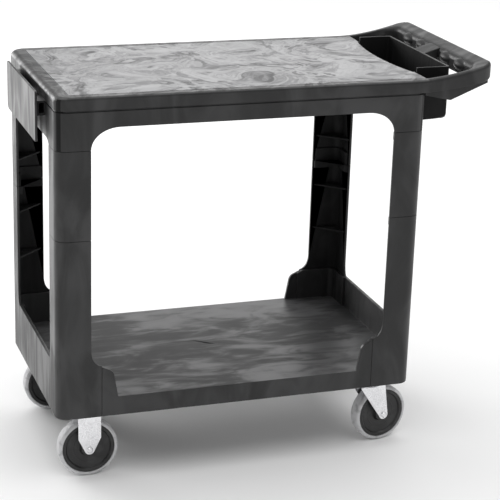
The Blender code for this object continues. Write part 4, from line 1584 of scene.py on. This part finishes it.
@dataclass
class Wheel:
    """A dished wheel core with its hub boss, and the tread round it, axis along Y."""

    finishes: Finishes
    radius: float = 0.0625
    tread_depth: float = 0.008
    tread_w: float = 0.030
    core_w: float = 0.026
    boss_r: float = 0.016
    boss_w: float = 0.038
    bore_r: float = 0.0068
    rim_w: float = 0.004
    dish: float = 0.0042
    rim_edge: float = 0.0022
    rim_step_w: float = 0.0004
    rim_step_h: float = 0.0008
    dish_slope: float = 0.0025
    web_flat: float = 0.0125
    bead_side: float = 0.0008
    bead_top: float = 0.0010
    bead_h: float = 0.0007
    boss_slope: float = 0.003
    boss_edge: float = 0.001
    shoulder_r: float = 0.0062
    lip_r: float = 0.0012

    def core(self, centre: Vector) -> Solid:
        """Turn the core's profile into both faces of a disc, and bore it."""
        rim = self.radius - self.tread_depth
        piece = drum("wheel_core", centre, rim, self.core_w, 96)
        profile = [
            (self.rim_edge, 0.0),
            (self.rim_step_w, self.rim_step_h),
            (self.rim_w, 0.0),
            (self.dish_slope, -self.dish),
            (self.web_flat, 0.0),
            (self.bead_side, self.bead_h),
            (self.bead_top, 0.0),
            (self.bead_side, -self.bead_h),
        ]
        rest = rim - sum(margin for margin, height in profile) - self.boss_r - self.boss_slope
        rise = self.boss_w / 2 - self.core_w / 2 + self.dish - self.rim_step_h
        profile += [
            (rest, 0.0),
            (self.boss_slope, rise - self.boss_edge),
            (self.boss_edge, self.boss_edge),
        ]
        for side in (-1, 1):
            def face(mid: Vector, normal: Vector, side: int = side) -> bool:
                """Whether a face is the middle one of this side."""
                middle = (mid - centre).xz.length < 0.002
                return middle and normal.y * side > 0.9

            for margin, height in profile:
                step_in(piece, face, margin, height)
        cut(piece, drum("bore", centre, self.bore_r, 0.1, 48))
        soften(piece, 0.0004, 1, 40.0)
        return piece

    def tread(self, centre: Vector) -> Solid:
        """Open a disc into a ring, and round its shoulders."""
        seat = self.radius - self.tread_depth + SEAM
        piece = drum("tread", centre, self.radius, self.tread_w, 128)
        cut(piece, drum("seat", centre, seat, 0.1, 128))
        shoulder = self.tread_w / 2

        def outer(mid: Vector, way: Vector) -> bool:
            """Whether an edge runs round the tread's outside."""
            off = mid - centre
            return near(abs(off.y), shoulder) and off.xz.length > self.radius - 0.002

        round_off(piece, outer, self.shoulder_r, 6)

        def lip(mid: Vector, way: Vector) -> bool:
            """Whether an edge runs round the tread's seat."""
            off = mid - centre
            return near(abs(off.y), shoulder) and off.xz.length < seat + 0.001

        round_off(piece, lip, self.lip_r, 2)
        return piece


@dataclass
class Caster:
    """One caster: its fork, its wheel, and the hardware that the frame brings."""

    place: CartFrame
    finishes: Finishes
    corner: Corner
    fork_w: float = 0.048
    fork_t: float = 0.003
    tip_r: float = 0.0105
    rigid_l: float = 0.048
    taper_up: float = 0.0255
    plate_l: float = 0.100
    plate_w: float = 0.080
    plate_t: float = 0.003
    cup_r: float = 0.031
    crown_t: float = 0.003
    hole_r: float = 0.0043
    pin_r: float = 0.0063
    plate_corner: float = 0.006
    edge_r: float = 0.0006

    @property
    def turn(self) -> float:
        """How far the caster stands off straight at rest."""
        for joint in frame["joints"]:
            if joint["name"] == f"wheel_spin_{self.corner.label}":
                return -atan2(joint["axis"][0], joint["axis"][1])
        return 0.0

    @property
    def axle(self) -> Vector:
        """The middle of the axle."""
        for joint in frame["joints"]:
            if joint["name"] == f"wheel_spin_{self.corner.label}":
                return Vector(joint["pos_m"])
        raise ValueError(f"no wheel joint at {self.corner.label}")

    @property
    def stem(self) -> Vector:
        """The middle of the caster's plate."""
        node = "swivel_plate" if self.corner.swivels else "rigid_fork"
        low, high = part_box(f"{node}_{self.corner.label}")
        return (low + high) / 2

    def cheek(self, side: int, axle: Vector, top: Vector, shoulder: float | None) -> Solid:
        """One fork leg: pressed plate that narrows to a round end about the axle."""
        y = axle.y + side * (self.fork_w / 2 - self.fork_t / 2)
        parts = [drum("cheek", (axle.x, y, axle.z), self.tip_r, self.fork_t, 40)]
        low = top.z - 0.003 if shoulder is None else shoulder
        ends = (y - self.fork_t / 2, y + self.fork_t / 2)
        parts.append(block("cheek", (top.x, ends[0], low), (top.y, ends[1], top.z)))
        cheek = gather("cheek", parts)
        wrap_tight(cheek)
        return cheek

    def fork(self, stem: Vector, axle: Vector) -> Solid:
        """The fork in its own straight-ahead place, before it is turned."""
        if self.corner.swivels:
            low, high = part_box(f"swivel_fork_{self.corner.label}")
            crown = pillar(
                "fork", (stem.x, stem.y, high.z - self.crown_t / 2), self.cup_r, self.crown_t
            )
            edge = self.fork_w / 2
            bridge = block(
                "bridge",
                (stem.x - self.cup_r + 0.006, stem.y - edge, high.z - self.crown_t + 0.0001),
                (stem.x + self.cup_r - 0.0005, stem.y + edge, high.z - 0.0002),
            )
            weld(crown, bridge)
            span = Vector((stem.x - self.cup_r + 0.001, stem.x + self.cup_r - 0.0005, high.z - 0.0004))
            for side in (-1, 1):
                weld(crown, self.cheek(side, axle, span, None))
            cut(crown, pillar("hole", (stem.x, stem.y, high.z), self.pin_r, 0.04, 32))
            return crown
        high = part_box(f"rigid_fork_{self.corner.label}")[1].z
        half_l, half_w = self.plate_l / 2, self.plate_w / 2
        plate = rounded_slab(
            "fork",
            (stem.x - half_l, stem.y - half_w, high - self.plate_t),
            (stem.x + half_l, stem.y + half_w, high),
            self.plate_corner,
            self.plate_corner,
            4,
        )
        half = self.rigid_l / 2
        span = Vector((stem.x - half, stem.x + half, high - 0.001))
        for side in (-1, 1):
            weld(plate, self.cheek(side, axle, span, axle.z + self.taper_up))
        holes = []
        for number in range(1, 5):
            low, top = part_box(f"plate_bolt_{self.corner.label}_{number}")
            spot = (low + top) / 2
            holes.append(pillar("hole", (spot.x, spot.y, high), self.hole_r, 0.03, 24))
        cut(plate, gather("holes", holes))
        return plate

    def build(self) -> list[Solid]:
        """Model the fork and the wheel, dress everything and hang it on its bodies."""
        label = self.corner.label
        turn, stem, axle = self.turn, self.stem, self.axle
        straight = axle
        if self.corner.swivels:
            off = Matrix.Rotation(-turn, 3, "Z") @ (axle - Vector((stem.x, stem.y, axle.z)))
            straight = Vector((stem.x, stem.y, axle.z)) + off
        fork = self.fork(stem, straight)
        cut(fork, drum("axle_hole", straight, self.hole_r, 0.1, 32))
        soften(fork, self.edge_r)
        fork.name = f"fork_pressing_{label}"
        core = Wheel(self.finishes).core(straight)
        core.name = f"wheel_disc_{label}"
        tread = Wheel(self.finishes).tread(straight)
        tread.name = f"tread_{label}"
        carrier = f"swivel_{label}" if self.corner.swivels else "cart"
        fork_node = f"{'swivel' if self.corner.swivels else 'rigid'}_fork_{label}"
        jobs = (
            (fork, self.finishes.steel, fork_node, "zinc", carrier),
            (core, self.finishes.hub, f"wheel_core_{label}", "hub_plastic", f"wheel_{label}"),
            (tread, self.finishes.tread, f"tyre_{label}", "tyre_rubber", f"wheel_{label}"),
        )
        for piece, finish, node, slot, body in jobs:
            if turn:
                turned(piece, turn, (stem.x, stem.y, 0.0))
            paint(piece, finish)
            smooth_over(piece)
            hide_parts(node)
            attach(piece, body)
        return [fork, core, tread]


@dataclass
class CarriedHardware:
    """The frame's own small steel pieces, which keep their shape and get the plated finish."""

    finishes: Finishes

    def dress(self) -> list[Solid]:
        """Give every frame node that still shows its finish."""
        shown = [node for node in frame["nodes"].values() if not node.hide_render]
        for node in shown:
            node.data.materials.clear()
            node.data.materials.append(self.finishes.steel)
        return shown


# ---- studio ----


@dataclass
class Studio:
    """Pale floor, even white surroundings, a wide light above, two soft boxes and the camera."""

    azimuth: float = 19.29
    elevation: float = 18.89
    roll: float = 1.82
    stand: tuple[float, float, float] = (-1.114, -3.265, 1.583)
    lens: float = 121.2
    sensor: float = 36.0
    surround: float = 0.50
    floor_size: float = 60.0

    def floor(self) -> None:
        """Lay the floor."""
        clear_bench()
        bpy.ops.mesh.primitive_plane_add(size=self.floor_size, location=(0.0, 0.0, -0.0002))
        floor = bpy.context.object
        floor.name = "studio_floor"
        floor.data.materials.append(StudioFloor().make())

    def softbox(self, name: str, spot: Place, aim: Place, size: float, power: float) -> None:
        """Hang one square soft light."""
        clear_bench()
        bpy.ops.object.light_add(type="AREA", location=spot)
        lamp = bpy.context.object
        lamp.name = name
        lamp.data.shape = "SQUARE"
        lamp.data.size = size
        lamp.data.energy = power
        lamp.rotation_euler = (Vector(aim) - Vector(spot)).to_track_quat("-Z", "Y").to_euler()

    def overhead(self, strength: float, spread: float) -> None:
        """Light everything evenly from above with one very wide, soft light."""
        clear_bench()
        bpy.ops.object.light_add(type="SUN", location=(0.0, 0.0, 4.0))
        lamp = bpy.context.object
        lamp.name = "overhead_light"
        lamp.data.energy = strength
        lamp.data.angle = radians(spread)

    def camera(self) -> None:
        """Stand the camera and look along its line of sight."""
        a, b, c = radians(self.azimuth), radians(self.elevation), radians(self.roll)
        ahead = Vector((sin(a) * cos(b), cos(a) * cos(b), -sin(b)))
        level = Vector((cos(a), -sin(a), 0.0))
        over = level.cross(ahead)
        right = level * cos(c) + over * sin(c)
        up = over * cos(c) - level * sin(c)
        turn = Matrix((right, up, -ahead)).transposed()
        data = bpy.data.cameras.new("camera")
        data.lens = self.lens
        data.sensor_width = self.sensor
        data.clip_end = 200.0
        camera = bpy.data.objects.new("camera", data)
        camera.matrix_world = Matrix.Translation(self.stand) @ turn.to_4x4()
        bpy.context.scene.collection.objects.link(camera)
        bpy.context.scene.camera = camera

    def build(self) -> None:
        """Set up everything around the cart."""
        world = bpy.data.worlds.new("studio")
        world.use_nodes = True
        backdrop = world.node_tree.nodes["Background"]
        backdrop.inputs["Color"].default_value = (1.0, 1.0, 1.0, 1.0)
        seen = world.node_tree.nodes.new("ShaderNodeLightPath").outputs["Is Camera Ray"]
        strength = world.node_tree.nodes.new("ShaderNodeMapRange")
        strength.inputs["To Min"].default_value = self.surround
        strength.inputs["To Max"].default_value = 1.0
        world.node_tree.links.new(seen, strength.inputs["Value"])
        world.node_tree.links.new(strength.outputs["Result"], backdrop.inputs["Strength"])
        bpy.context.scene.world = world
        bpy.context.scene.view_settings.view_transform = "Standard"
        self.floor()
        self.overhead(1.9, 75.0)
        self.softbox("left_rim_softbox", (-2.2, 3.2, 1.3), (0.0, 0.0, 0.5), 2.0, 70.0)
        self.softbox("far_sheen_softbox", (1.6, 4.2, 2.0), (0.0, 0.0, 0.5), 2.4, 18.0)
        self.camera()


def main() -> None:
    """Build the cart's sub-assemblies in order, then the studio."""
    logging.basicConfig(level=logging.INFO, format="%(name)s: %(message)s")
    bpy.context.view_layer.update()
    place = CartFrame.read()
    line_low, line_high = TopMoulding.panel_corners(place)
    finishes = Finishes.mix(line_low, line_high)
    made = [TopMoulding(place, finishes).build()]
    made += CornerLegs(place, finishes).build()
    made.append(BottomShelf(place, finishes).build())
    for corner in Corner:
        made += Caster(place, finishes, corner).build()
    made += CarriedHardware(finishes).dress()
    for piece in made:
        LOG.info("%s: %d faces", piece.name, len(piece.data.polygons))
    Studio().build()


if __name__ == "__main__":
    main()
